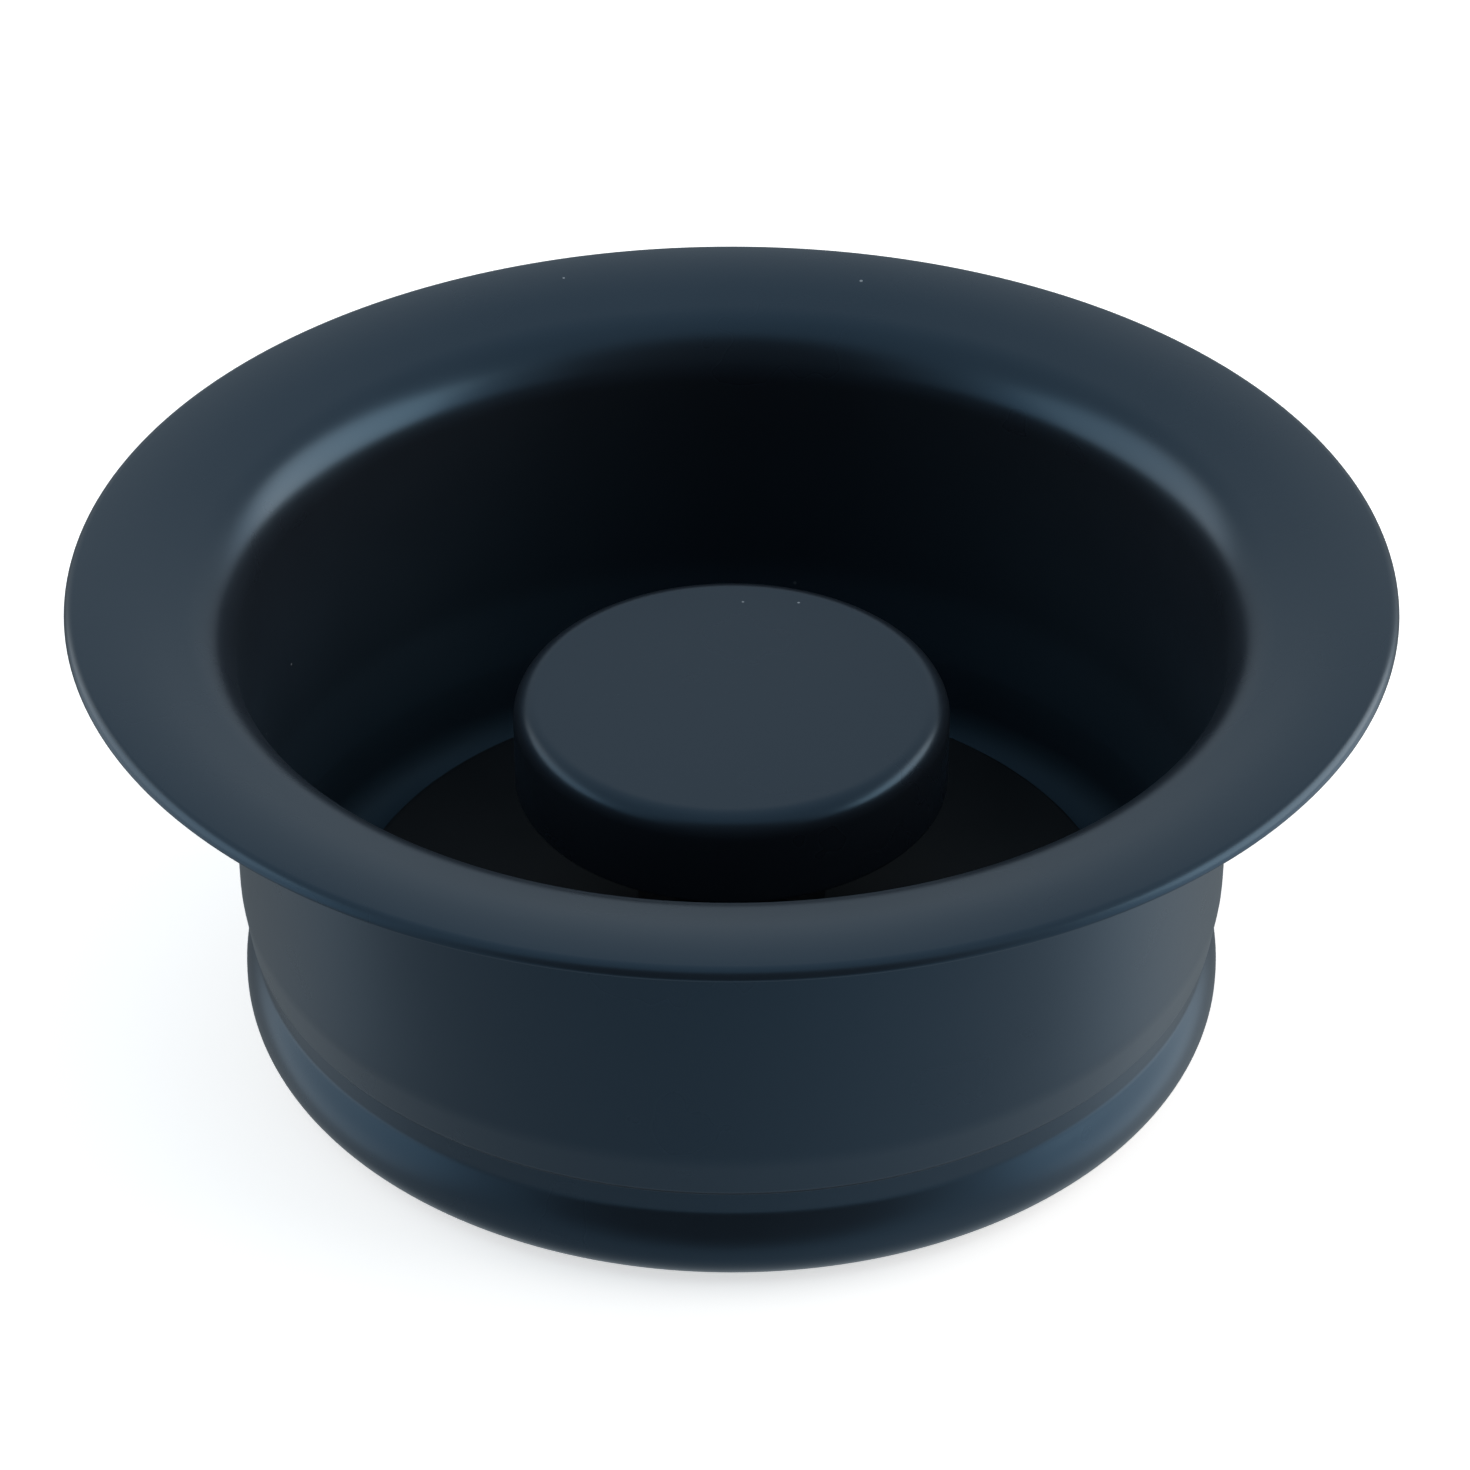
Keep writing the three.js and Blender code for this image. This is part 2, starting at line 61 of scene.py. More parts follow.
# %% [markdown]
# ## The camera
#
# A long lens keeps the rim's ellipse true and the sides of the wall nearly parallel. The camera looks
# down at the flange from the front at a little over a third of a right angle. Its aim is a point
# inside the flange, a hair beside the axis, and its place follows from the aim, the angle and the
# distance.

# %% Camera
CAMERA_ELEVATION = math.radians(34.92)
CAMERA_DISTANCE = 403.2 * mm
CAMERA_AIM_ASIDE = 0.3 * mm
CAMERA_AIM_BELOW_RIM = 17.95 * mm
CAMERA_LENS = 111.84
CAMERA_SENSOR = 36
CAMERA_NEAR = 10 * mm
CAMERA_ROLL = math.radians(0.05)


def make_camera():
    camera = bpy.data.objects.new("camera", bpy.data.cameras.new("camera"))
    camera.data.lens = CAMERA_LENS
    camera.data.sensor_width = CAMERA_SENSOR
    camera.data.clip_start = CAMERA_NEAR
    turn = Matrix.Rotation(math.pi / 2 - CAMERA_ELEVATION, 4, "X")
    roll = Matrix.Rotation(CAMERA_ROLL, 4, "Z")
    back = Vector((0, -math.cos(CAMERA_ELEVATION), math.sin(CAMERA_ELEVATION)))
    aim = Vector((CAMERA_AIM_ASIDE, 0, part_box("sink_flange")[1].z - CAMERA_AIM_BELOW_RIM))
    place = Matrix.Translation(aim + CAMERA_DISTANCE * back)
    camera.matrix_world = place @ turn @ roll
    scene.collection.objects.link(camera)
    return camera


scene.camera = make_camera()
scene.view_settings.view_transform = "Standard"
print("camera at", [round(v, 4) for v in scene.camera.matrix_world.translation])

# %% [markdown]
# ## Nodes made by name
#
# Materials and the world are both trees of shader nodes, and a few helpers keep the wiring short. Each
# helper hands back the output socket of what it made, so that one can feed the next. A value that a
# helper takes may be a number, a colour or another node's socket. A Mix node has a socket A and a
# socket B for every type of data, so its colour sockets are found by their place in the row.

# %% Node helpers
MIX_COLOUR_INPUTS = (6, 7)
MIX_COLOUR_OUTPUT = 2


def add_node(tree, kind, **settings):
    """A new node, with its properties or the values of its input sockets set by name."""
    node = tree.nodes.new(kind)
    for name, value in settings.items():
        if hasattr(node, name):
            setattr(node, name, value)
        else:
            node.inputs[name.replace("_", " ")].default_value = value
    return node


def feed(tree, entry, value):
    """Links a socket to an input, or sets the input to a number or a colour."""
    if isinstance(value, bpy.types.NodeSocket):
        tree.links.new(value, entry)
    else:
        entry.default_value = value


def combined_value(tree, operation, first, second):
    """A socket with what a Math node makes of two values."""
    result = add_node(tree, "ShaderNodeMath", operation=operation)
    for entry, value in zip(result.inputs, (first, second)):
        feed(tree, entry, value)
    return result.outputs[0]


def mixed_colour(tree, share, first, second):
    """A socket that goes from the first colour to the second as the share goes from 0 to 1."""
    mix = add_node(tree, "ShaderNodeMix", data_type="RGBA")
    tree.links.new(share, mix.inputs["Factor"])
    for place, colour in zip(MIX_COLOUR_INPUTS, (first, second)):
        feed(tree, mix.inputs[place], colour)
    return mix.outputs[MIX_COLOUR_OUTPUT]


def mixed_value(tree, share, first, second):
    """A socket that goes from the first value to the second as the share goes from 0 to 1."""
    mix = add_node(tree, "ShaderNodeMix", data_type="FLOAT")
    feed(tree, mix.inputs["Factor"], share)
    feed(tree, mix.inputs["A"], first)
    feed(tree, mix.inputs["B"], second)
    return mix.outputs["Result"]


def smooth_range(tree, value, limits, results):
    """A socket that goes smoothly from one result to the other as the value crosses its limits."""
    ramp = add_node(tree, "ShaderNodeMapRange", interpolation_type="SMOOTHSTEP")
    ramp.inputs["From Min"].default_value, ramp.inputs["From Max"].default_value = limits
    feed(tree, ramp.inputs["To Min"], results[0])
    feed(tree, ramp.inputs["To Max"], results[1])
    tree.links.new(value, ramp.inputs["Value"])
    return ramp.outputs["Result"]


print("a Mix node's colour sockets:", MIX_COLOUR_INPUTS, MIX_COLOUR_OUTPUT)

# %% [markdown]
# ## A white studio
#
# A dark satin object shows its surroundings more than its own colour, so the surroundings are modelled
# with some care. A product is shot inside a white tent, and the tent is open on the side where the
# camera looks in. That opening keeps the inside of the well and the front of the bead dark. The world
# is therefore a pale, slightly cool tent with a dark window in front. Towards the ground it gets dimmer
# at the left and much dimmer at the back. To the left and right, where the lamps stand, the tent glows
# with their light, and a faint patch of light on its roof shows in the rim and the knob's top.
#
# Each patch of the sky is found by the angle between a ray and the patch's centre, which a dot product
# gives, and its edge is soft. Half angles and softnesses are in degrees, and levels are shares of
# plain white.

# %% World: the tent's levels and patches
TENT_COLOUR = (0.80, 0.92, 1.0, 1)
PLAIN_WHITE = (1, 1, 1, 1)
TENT_LEVEL = 0.74
GROUND_SHARE = (0.66, 1.08)
GROUND_ACROSS = (-0.9, 0.9)
GROUND_BACK_SHARE = 0.35
GROUND_BACKWARDS = (0.3, 0.85)
GROUND_UPWARDS = (-0.4, 0.45)
WINDOW_SHARE = 0.10
WINDOW_ELEVATION = math.radians(15)
WINDOW_HALF_ANGLE = 39
WINDOW_SOFTNESS = 12
ROOF_LEVEL = 0.10
ROOF_ELEVATION = math.radians(68)
ROOF_HALF_ANGLE = 25
ROOF_SOFTNESS = 12
GLOW_LEVELS = {-1: 0.97, 1: 1.3}
GLOW_AZIMUTH = math.radians(7)
GLOW_ELEVATION = math.radians(4)
GLOW_HALF_ANGLE = 36
GLOW_SOFTNESS = 8


def round_patch(tree, direction, centre, half_angle, softness, results):
    """A socket with the first result away from a centre of the sky and the second one round it."""
    towards = add_node(tree, "ShaderNodeVectorMath", operation="DOT_PRODUCT")
    towards.inputs[1].default_value = centre
    tree.links.new(direction, towards.inputs[0])
    limits = [math.cos(math.radians(half_angle + side * softness)) for side in (1, -1)]
    return smooth_range(tree, towards.outputs["Value"], limits, results)


def tent_and_window(tree, direction):
    """The level of the tent's cloth, dark in the window and dimmer towards the ground."""
    centre = (0, -math.cos(WINDOW_ELEVATION), math.sin(WINDOW_ELEVATION))
    window = round_patch(tree, direction, centre, WINDOW_HALF_ANGLE, WINDOW_SOFTNESS,
                         (1, WINDOW_SHARE))
    parts = add_node(tree, "ShaderNodeSeparateXYZ")
    tree.links.new(direction, parts.inputs["Vector"])
    across = smooth_range(tree, parts.outputs["X"], GROUND_ACROSS, GROUND_SHARE)
    backwards = smooth_range(tree, parts.outputs["Y"], GROUND_BACKWARDS, (1, GROUND_BACK_SHARE))
    low = combined_value(tree, "MULTIPLY", across, backwards)
    ground = smooth_range(tree, parts.outputs["Z"], GROUND_UPWARDS, (low, 1))
    share = combined_value(tree, "MULTIPLY", window, ground)
    return combined_value(tree, "MULTIPLY", share, TENT_LEVEL)


def roof_and_glows(tree, direction):
    """The levels of the lit patches: one on the roof and one at each side."""
    centre = (0, math.cos(ROOF_ELEVATION), math.sin(ROOF_ELEVATION))
    patches = [round_patch(tree, direction, centre, ROOF_HALF_ANGLE, ROOF_SOFTNESS, (0, ROOF_LEVEL))]
    reach = math.cos(GLOW_ELEVATION)
    for side, level in GLOW_LEVELS.items():
        centre = (
            side * math.cos(GLOW_AZIMUTH) * reach,
            math.sin(GLOW_AZIMUTH) * reach,
            math.sin(GLOW_ELEVATION),
        )
        patches.append(round_patch(tree, direction, centre, GLOW_HALF_ANGLE, GLOW_SOFTNESS, (0, level)))
    return patches


print("the tent has", 2 + len(GLOW_LEVELS), "patches")

# %% [markdown]
# The camera itself sees plain white. Light Path tells the shader which kind of ray is asking, and the
# world answers a camera ray with white and every other ray with the tent.

# %% World
def make_world():
    world = bpy.data.worlds.new("white tent")
    world.use_nodes = True
    tree = world.node_tree
    background = tree.nodes["Background"]
    direction = add_node(tree, "ShaderNodeTexCoord").outputs["Generated"]
    tent = tent_and_window(tree, direction)
    for patch in roof_and_glows(tree, direction):
        tent = combined_value(tree, "ADD", tent, patch)
    seen = add_node(tree, "ShaderNodeLightPath").outputs["Is Camera Ray"]
    tree.links.new(mixed_colour(tree, seen, TENT_COLOUR, PLAIN_WHITE), background.inputs["Color"])
    tree.links.new(mixed_value(tree, seen, tent, 1.0), background.inputs["Strength"])
    return world


scene.world = make_world()
print("world:", scene.world.name)

# %% [markdown]
# The floor is a large pale plane under the part. It catches a soft shadow, so it is a real diffuse
# surface, and a little light of its own, added for camera rays alone, lifts the rest of it to white.
# Mirror rays pass through it, since the world below the horizon already stands for the table. From
# below it is clear, so the underside of the part can be looked at, and it lies a hair under the base.

# %% Floor
FLOOR_SIZE = 6.0
FLOOR_COLOUR = (0.80, 0.80, 0.80, 1)
FLOOR_LIFT = 0.60
FLOOR_GAP = 0.02 * mm


def floor_material():
    material = bpy.data.materials.new("pale floor")
    material.use_nodes = True
    tree = material.node_tree
    shader = tree.nodes["Principled BSDF"]
    shader.inputs["Base Color"].default_value = FLOOR_COLOUR
    shader.inputs["Roughness"].default_value = 1.0
    shader.inputs["Specular IOR Level"].default_value = 0.0
    shader.inputs["Emission Color"].default_value = PLAIN_WHITE
    rays = add_node(tree, "ShaderNodeLightPath")
    lift = combined_value(tree, "MULTIPLY", rays.outputs["Is Camera Ray"], FLOOR_LIFT)
    tree.links.new(lift, shader.inputs["Emission Strength"])
    clear = add_node(tree, "ShaderNodeBsdfTransparent")
    side = add_node(tree, "ShaderNodeNewGeometry")
    choice = add_node(tree, "ShaderNodeMixShader")
    share, from_above, from_below = choice.inputs
    tree.links.new(side.outputs["Backfacing"], share)
    tree.links.new(shader.outputs["BSDF"], from_above)
    tree.links.new(clear.outputs["BSDF"], from_below)
    tree.links.new(choice.outputs["Shader"], tree.nodes["Material Output"].inputs["Surface"])
    return material


def make_floor():
    mesh = bpy.data.meshes.new("floor")
    bm = bmesh.new()
    bmesh.ops.create_grid(bm, x_segments=1, y_segments=1, size=FLOOR_SIZE / 2)
    bmesh.ops.translate(bm, verts=bm.verts, vec=(0, 0, -FLOOR_GAP))
    bm.to_mesh(mesh)
    bm.free()
    floor = bpy.data.objects.new("floor", mesh)
    mesh.materials.append(floor_material())
    floor.visible_glossy = False
    scene.collection.objects.link(floor)
    return floor


make_floor()
print("floor laid", FLOOR_GAP / mm, "mm below the base")

# %% [markdown]
# Two warm soft boxes stand at the left and right, a little behind the part. They draw the highlights at
# both ends of the lip and along the sides of the body. Each is aimed at the base's middle, and the
# right one is the stronger, which gives the round body a brighter side. Against the cool tent, their
# warm light leaves those highlights nearly grey.

# %% Lamps
BOX_WIDTH = 0.80
BOX_HEIGHT = 0.50
BOX_DISTANCE = 0.70
BOX_CENTRE_HEIGHT = 0.31
BOX_COLOUR = (1.0, 0.82, 0.68)
BOX_AZIMUTHS = {"soft_box_left": math.radians(165), "soft_box_right": math.radians(8)}
BOX_POWERS = {"soft_box_left": 1.55, "soft_box_right": 3.8}


def make_soft_box(name):
    azimuth = BOX_AZIMUTHS[name]
    light = bpy.data.lights.new(name, "AREA")
    light.shape = "RECTANGLE"
    light.size = BOX_WIDTH
    light.size_y = BOX_HEIGHT
    light.energy = BOX_POWERS[name]
    light.color = BOX_COLOUR
    box = bpy.data.objects.new(name, light)
    box.location = (
        BOX_DISTANCE * math.cos(azimuth),
        BOX_DISTANCE * math.sin(azimuth),
        BOX_CENTRE_HEIGHT,
    )
    box.rotation_euler = Vector(box.location).to_track_quat("Z", "Y").to_euler()
    scene.collection.objects.link(box)
    return box


for box_name in BOX_POWERS:
    make_soft_box(box_name)
print("lamps:", list(BOX_POWERS))

# %% [markdown]
# ## Effects that the finishes share
#
# A powder coat and a moulded surface look alike from afar: both are nearly even, with a faint orange
# peel, a fine grain, slow changes of tone and a speck of dust here and there. Each effect is a node
# group, so that every material can use it with its own values. The patterns read Object coordinates,
# which are metres here, and each group takes the size of its feature in metres.

# %% Group: surface grain
NOISE_ROUGHNESS = 0.55


def new_group(name, inputs, outputs):
    """An empty shader group with float inputs, {name: default}, and float outputs."""
    group = bpy.data.node_groups.new(name, "ShaderNodeTree")
    for socket, value in inputs.items():
        made = group.interface.new_socket(socket, in_out="INPUT", socket_type="NodeSocketFloat")
        made.default_value = value
    for socket in outputs:
        group.interface.new_socket(socket, in_out="OUTPUT", socket_type="NodeSocketFloat")
    return group, group.nodes.new("NodeGroupInput"), group.nodes.new("NodeGroupOutput")


def noise_of_size(tree, size_socket, detail):
    """Noise on Object coordinates whose features are as large as the socket says, in metres."""
    place = add_node(tree, "ShaderNodeTexCoord")
    noise = add_node(tree, "ShaderNodeTexNoise", Detail=detail, Roughness=NOISE_ROUGHNESS)
    tree.links.new(place.outputs["Object"], noise.inputs["Vector"])
    tree.links.new(combined_value(tree, "DIVIDE", 1, size_socket), noise.inputs["Scale"])
    return noise.outputs["Fac"]


def make_grain_group():
    inputs = {"Peel Size": 1.2 * mm, "Grain Size": 0.25 * mm, "Grain Share": 0.4}
    group, start, end = new_group("surface grain", inputs, ["Height"])
    peel = noise_of_size(group, start.outputs["Peel Size"], 1.0)
    grain = noise_of_size(group, start.outputs["Grain Size"], 2.0)
    height = mixed_value(group, start.outputs["Grain Share"], peel, grain)
    group.links.new(height, end.inputs["Height"])
    return group


grain_group = make_grain_group()
print("group:", grain_group.name)

# %% [markdown]
# Slow changes of tone keep a large even face from looking computed. The noise is stretched to use the
# whole range from 0 to 1, so that a material can map it to its own two tones or two roughnesses.

# %% Group: soft mottling
def make_mottle_group():
    group, start, end = new_group("soft mottling", {"Patch Size": 14 * mm}, ["Value"])
    noise = noise_of_size(group, start.outputs["Patch Size"], 3.0)
    spread = add_node(group, "ShaderNodeMapRange", From_Min=0.3, From_Max=0.7)
    group.links.new(noise, spread.inputs["Value"])
    group.links.new(spread.outputs["Result"], end.inputs["Value"])
    return group


mottle_group = make_mottle_group()
print("group:", mottle_group.name)

# %% [markdown]
# Dust shows on every dark finish. A Voronoi pattern drops one point in each cell of space, and a speck
# shows where the surface passes close to such a point. The cell's own random colour decides whether
# its speck is there at all, so the specks are few and unevenly spread.

# %% Group: dust
def make_dust_group():
    inputs = {"Spacing": 6 * mm, "Speck Radius": 0.16 * mm, "Share": 0.5}
    group, start, end = new_group("dust", inputs, ["Mask"])
    place = add_node(group, "ShaderNodeTexCoord")
    spacing = start.outputs["Spacing"]
    cells = add_node(group, "ShaderNodeTexVoronoi")
    group.links.new(place.outputs["Object"], cells.inputs["Vector"])
    group.links.new(combined_value(group, "DIVIDE", 1, spacing), cells.inputs["Scale"])
    reach = combined_value(group, "DIVIDE", start.outputs["Speck Radius"], spacing)
    near = combined_value(group, "LESS_THAN", cells.outputs["Distance"], reach)
    chance = add_node(group, "ShaderNodeSeparateColor")
    group.links.new(cells.outputs["Color"], chance.inputs["Color"])
    chosen = combined_value(group, "LESS_THAN", chance.outputs["Red"], start.outputs["Share"])
    group.links.new(combined_value(group, "MULTIPLY", near, chosen), end.inputs["Mask"])
    return group


dust_group = make_dust_group()
print("group:", dust_group.name)

# %% [markdown]
# ## Materials
#
# Each finish below starts from the same helper: two tones mixed by the mottling, dust over them, a
# roughness that drifts with the same mottling, and the grain as a shallow bump. What tells the
# finishes apart is their tones, how rough they are and how coarse their grain is, and a reader can
# try other values one at a time. The three values of a grain are the size of the peel, the size of
# the grain and the grain's share of the two.

# %% Material helper
DUST_TONE = (0.2, 0.22, 0.24, 1)


def use_group(tree, group, **values):
    node = add_node(tree, "ShaderNodeGroup", node_tree=group)
    for name, value in values.items():
        node.inputs[name.replace("_", " ")].default_value = value
    return node


def mottled_finish(name, tones, roughness, patch, grain, bump, dust=0.0):
    """A material of two mottled tones with grain and dust. Returns it with its Principled shader."""
    material = bpy.data.materials.new(name)
    material.use_nodes = True
    tree = material.node_tree
    shader = tree.nodes["Principled BSDF"]
    mottle = use_group(tree, mottle_group, Patch_Size=patch).outputs["Value"]
    specks = use_group(tree, dust_group, Share=dust).outputs["Mask"]
    colour = mixed_colour(tree, mottle, *tones)
    tree.links.new(mixed_colour(tree, specks, colour, DUST_TONE), shader.inputs["Base Color"])
    rough = add_node(tree, "ShaderNodeMapRange", To_Min=roughness[0], To_Max=roughness[1])
    tree.links.new(mottle, rough.inputs["Value"])
    tree.links.new(rough.outputs["Result"], shader.inputs["Roughness"])
    peel_size, grain_size, grain_share = grain
    height = use_group(tree, grain_group, Peel_Size=peel_size, Grain_Size=grain_size,
                       Grain_Share=grain_share)
    relief = add_node(tree, "ShaderNodeBump", Strength=1.0, Distance=bump)
    tree.links.new(height.outputs["Height"], relief.inputs["Height"])
    tree.links.new(relief.outputs["Normal"], shader.inputs["Normal"])
    return material, shader


print("each finish places", [group.name for group in (mottle_group, dust_group, grain_group)])

# %% [markdown]
# The flange and the knob's cap wear a satin black powder coat. Its own tone is nearly black, and its
# cool, blue cast lies in the mirror reflection, which Specular Tint colours. That reflection is weak
# when the coat is looked at straight and strong at a glancing angle, which the shader's Fresnel gives
# by itself. The specular level sets how strong it is, and the knob's cap takes a lower one.
#
# Deep in the well the coat is made rougher, and its tone is painted paler, which is painted light
# that lifts the well's dark inside. The flange's mesh will hold how deep each point lies as an
# attribute named well_depth, from 0 at the rim and on the outside to 1 deep in the well, and the
# material reads it. A piece without it reads 0.

# %% Powder coat
COAT_TINT = (0.34, 0.67, 1.0, 1)
FLANGE_SPECULAR = 0.53
KNOB_SPECULAR = 0.45
DULL_ROUGHNESS = 0.35
# Painted light: the paler tone that the coat takes deep in the well.
WELL_PAINTED_LIGHT_TONE = (0.010, 0.018, 0.028, 1)


def powder_coat(name, specular_level):
    material, shader = mottled_finish(
        name,
        tones=((0.0095, 0.0125, 0.0175, 1), (0.0110, 0.0145, 0.0200, 1)),
        roughness=(0.26, 0.31),
        patch=16 * mm,
        grain=(1.1 * mm, 0.22 * mm, 0.35),
        bump=0.004 * mm,
        dust=0.35,
    )
    shader.inputs["Specular IOR Level"].default_value = specular_level
    shader.inputs["Specular Tint"].default_value = COAT_TINT
    tree = material.node_tree
    depth = add_node(tree, "ShaderNodeAttribute", attribute_name="well_depth").outputs["Fac"]
    duller = combined_value(tree, "MULTIPLY", depth, DULL_ROUGHNESS)
    roughness = shader.inputs["Roughness"].links[0].from_socket
    tree.links.new(combined_value(tree, "ADD", roughness, duller), shader.inputs["Roughness"])
    # Painted light: the tone is painted paler deep in the well.
    colour = shader.inputs["Base Color"].links[0].from_socket
    tree.links.new(mixed_colour(tree, depth, colour, WELL_PAINTED_LIGHT_TONE), shader.inputs["Base Color"])
    return material


coat = powder_coat("satin black powder coat", FLANGE_SPECULAR)
knob_coat = powder_coat("satin black powder coat, knob", KNOB_SPECULAR)
print("materials:", coat.name, "and", knob_coat.name)

# %% [markdown]
# The disc, the stem, the knob's core and the retainer are moulded in black plastic. It is darker than
# the coat, with the same cool cast, and it is rougher and reflects less, so it stays nearly black in
# the well.

# %% Black plastic
def moulded_plastic():
    material, shader = mottled_finish(
        "black moulded plastic",
        tones=((0.0030, 0.0048, 0.0070, 1), (0.0042, 0.0062, 0.0088, 1)),
        roughness=(0.46, 0.54),
        patch=9 * mm,
        grain=(0.7 * mm, 0.16 * mm, 0.7),
        bump=0.006 * mm,
        dust=0.30,
    )
    shader.inputs["Specular IOR Level"].default_value = 0.2
    return material


plastic = moulded_plastic()
print("material:", plastic.name)

# %% [markdown]
# Rubber is softer to the eye than plastic: rougher, and paler at a glancing angle, which a little
# sheen gives.

# %% Seal rubber
def soft_rubber():
    material, shader = mottled_finish(
        "black seal rubber",
        tones=((0.013, 0.013, 0.014, 1), (0.018, 0.018, 0.019, 1)),
        roughness=(0.72, 0.82),
        patch=5 * mm,
        grain=(0.5 * mm, 0.12 * mm, 0.5),
        bump=0.008 * mm,
        dust=0.45,
    )
    shader.inputs["Specular IOR Level"].default_value = 0.3
    shader.inputs["Sheen Weight"].default_value = 0.15
    shader.inputs["Sheen Roughness"].default_value = 0.5
    return material


rubber = soft_rubber()
print("material:", rubber.name)

# %% [markdown]
# The screw and washer are bare stainless steel and the insert is brass. A metal has no colour of its
# own under its reflection, so Metallic is 1 and the tones colour the mirror light. Parts this small
# and this clean get no dust.

# %% Bare metals
def bare_metal(name, tones, roughness):
    material, shader = mottled_finish(
        name,
        tones=tones,
        roughness=roughness,
        patch=3 * mm,
        grain=(0.4 * mm, 0.08 * mm, 0.6),
        bump=0.003 * mm,
    )
    shader.inputs["Metallic"].default_value = 1.0
    return material


steel = bare_metal("satin stainless steel", ((0.45, 0.46, 0.47, 1), (0.52, 0.53, 0.54, 1)), (0.28, 0.36))
brass = bare_metal("machined brass", ((0.58, 0.42, 0.17, 1), (0.66, 0.49, 0.22, 1)), (0.26, 0.34))
print("materials:", steel.name, "and", brass.name)

# %% [markdown]
# ## Turning a section
#
# A section is a chain of points, each a radius and a height. Rounds in it are drawn as arcs of short
# steps. No edge of a real part is perfectly sharp, so before the spin each sharp corner of the section
# is broken with a small vertex bevel. Long straight runs get an extra point near each end, which stops
# the smooth shading of a round from running out over the flat next to it.

# %% Section helpers
EDGE_BREAK = 0.12 * mm
CORNER = math.radians(25)
HOLD = 0.2 * mm
LONG_RUN = 1.2 * mm
WELD = 0.0005 * mm


def arc(centre, radius, start, end, steps):
    """Points (radius, height) along an arc of a section, from one angle to another in degrees."""
    angles = [math.radians(start + (end - start) * i / steps) for i in range(steps + 1)]
    return [(centre[0] + radius * math.cos(a), centre[1] + radius * math.sin(a)) for a in angles]


def section_edges(bm, section, closed):
    """The section as a chain of vertices and edges in the XZ plane."""
    points = [section[0]]
    for point in section[1:]:
        if math.dist(point, points[-1]) > WELD:
            points.append(point)
    if closed and math.dist(points[0], points[-1]) <= WELD:
        points.pop()
    verts = [bm.verts.new((r, 0, z)) for r, z in points]
    for a, b in zip(verts, verts[1:]):
        bm.edges.new((a, b))
    if closed:
        bm.edges.new((verts[-1], verts[0]))
    return verts


def sharp_corners(verts):
    """Section vertices where the outline turns by more than CORNER."""
    found = []
    for vert in verts:
        if len(vert.link_edges) == 2:
            a, b = [(edge.other_vert(vert).co - vert.co) for edge in vert.link_edges]
            if math.pi - a.angle(b) > CORNER:
                found.append(vert)
    return found


def hold_long_runs(bm):
    """Splits each long straight edge near both its ends."""
    for edge in [e for e in bm.edges if e.calc_length() > LONG_RUN]:
        first, second = edge.verts
        _, held = bmesh.utils.edge_split(edge, first, HOLD / edge.calc_length())
        rest = next(e for e in held.link_edges if e.other_vert(held) == second)
        bmesh.utils.edge_split(rest, second, HOLD / rest.calc_length())


print("corners are broken by", EDGE_BREAK / mm, "mm")

# %% [markdown]
# bmesh.ops.spin then copies the chain round the Z axis and fills between the copies. A full turn needs
# use_merge, so that the last copy joins the first. Points on the axis come out once for every step,
# and merging them closes the pole. Bevel's defaults differ from the editor's, so one helper says them
# all. A piece is shaded smooth, except along edges that turn more than SMOOTH_BELOW.

# %% Turning helpers
WIDE_STEPS = 256
SMALL_STEPS = 96
SMOOTH_BELOW = math.radians(34)


def break_edges(bm, geom, width, affect):
    bmesh.ops.bevel(bm, geom=geom, offset=width, offset_type="OFFSET", segments=2, profile=0.5,
                    affect=affect, material=-1)


def turned(section, steps, closed=True, edge_break=EDGE_BREAK):
    """A bmesh of the section spun once round the Z axis, with its corners broken."""
    bm = bmesh.new()
    verts = section_edges(bm, section, closed)
    if edge_break:
        break_edges(bm, sharp_corners(verts), edge_break, "VERTICES")
    hold_long_runs(bm)
    geometry = bm.verts[:] + bm.edges[:]
    bmesh.ops.spin(bm, geom=geometry, cent=(0, 0, 0), axis=(0, 0, 1), angle=2 * math.pi, steps=steps,
                   use_merge=True)
    bmesh.ops.remove_doubles(bm, verts=bm.verts, dist=WELD)
    bmesh.ops.recalc_face_normals(bm, faces=bm.faces)
    return bm


def make_piece(bm, node, body, material):
    """An object from a bmesh that stands for one solid of the frame and rides on its body."""
    mesh = bpy.data.meshes.new(node + "_fine")
    bm.to_mesh(mesh)
    bm.free()
    mesh.shade_smooth()
    mesh.set_sharp_from_angle(angle=SMOOTH_BELOW)
    mesh.materials.append(material)
    piece = bpy.data.objects.new(node + "_fine", mesh)
    scene.collection.objects.link(piece)
    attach(piece, body)
    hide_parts(node)
    print(piece.name, "has", len(mesh.polygons), "faces")
    return piece


print("a wide piece is spun in", WIDE_STEPS, "steps and a small one in", SMALL_STEPS)

# %% [markdown]
# ## The flange
#
# The flange is formed from one sheet of even thickness, so its inside is its outside moved in by the
# sheet. The outside of the wall is kept as a chain of corners, each with the radius of the bend that
# rounds it. `besides` moves such a chain sideways: every bend keeps its centre, so its radius grows or
# shrinks by the sheet. `bent` then turns the chain into points, with an arc at each corner.

# %% Chains of corners
BEND_STEP = 5


def bearing(centre, point):
    return math.degrees(math.atan2(point[1] - centre[1], point[0] - centre[0]))


def sides(chain):
    return [Vector((b[0] - a[0], b[1] - a[1])) for a, b in zip(chain, chain[1:])]


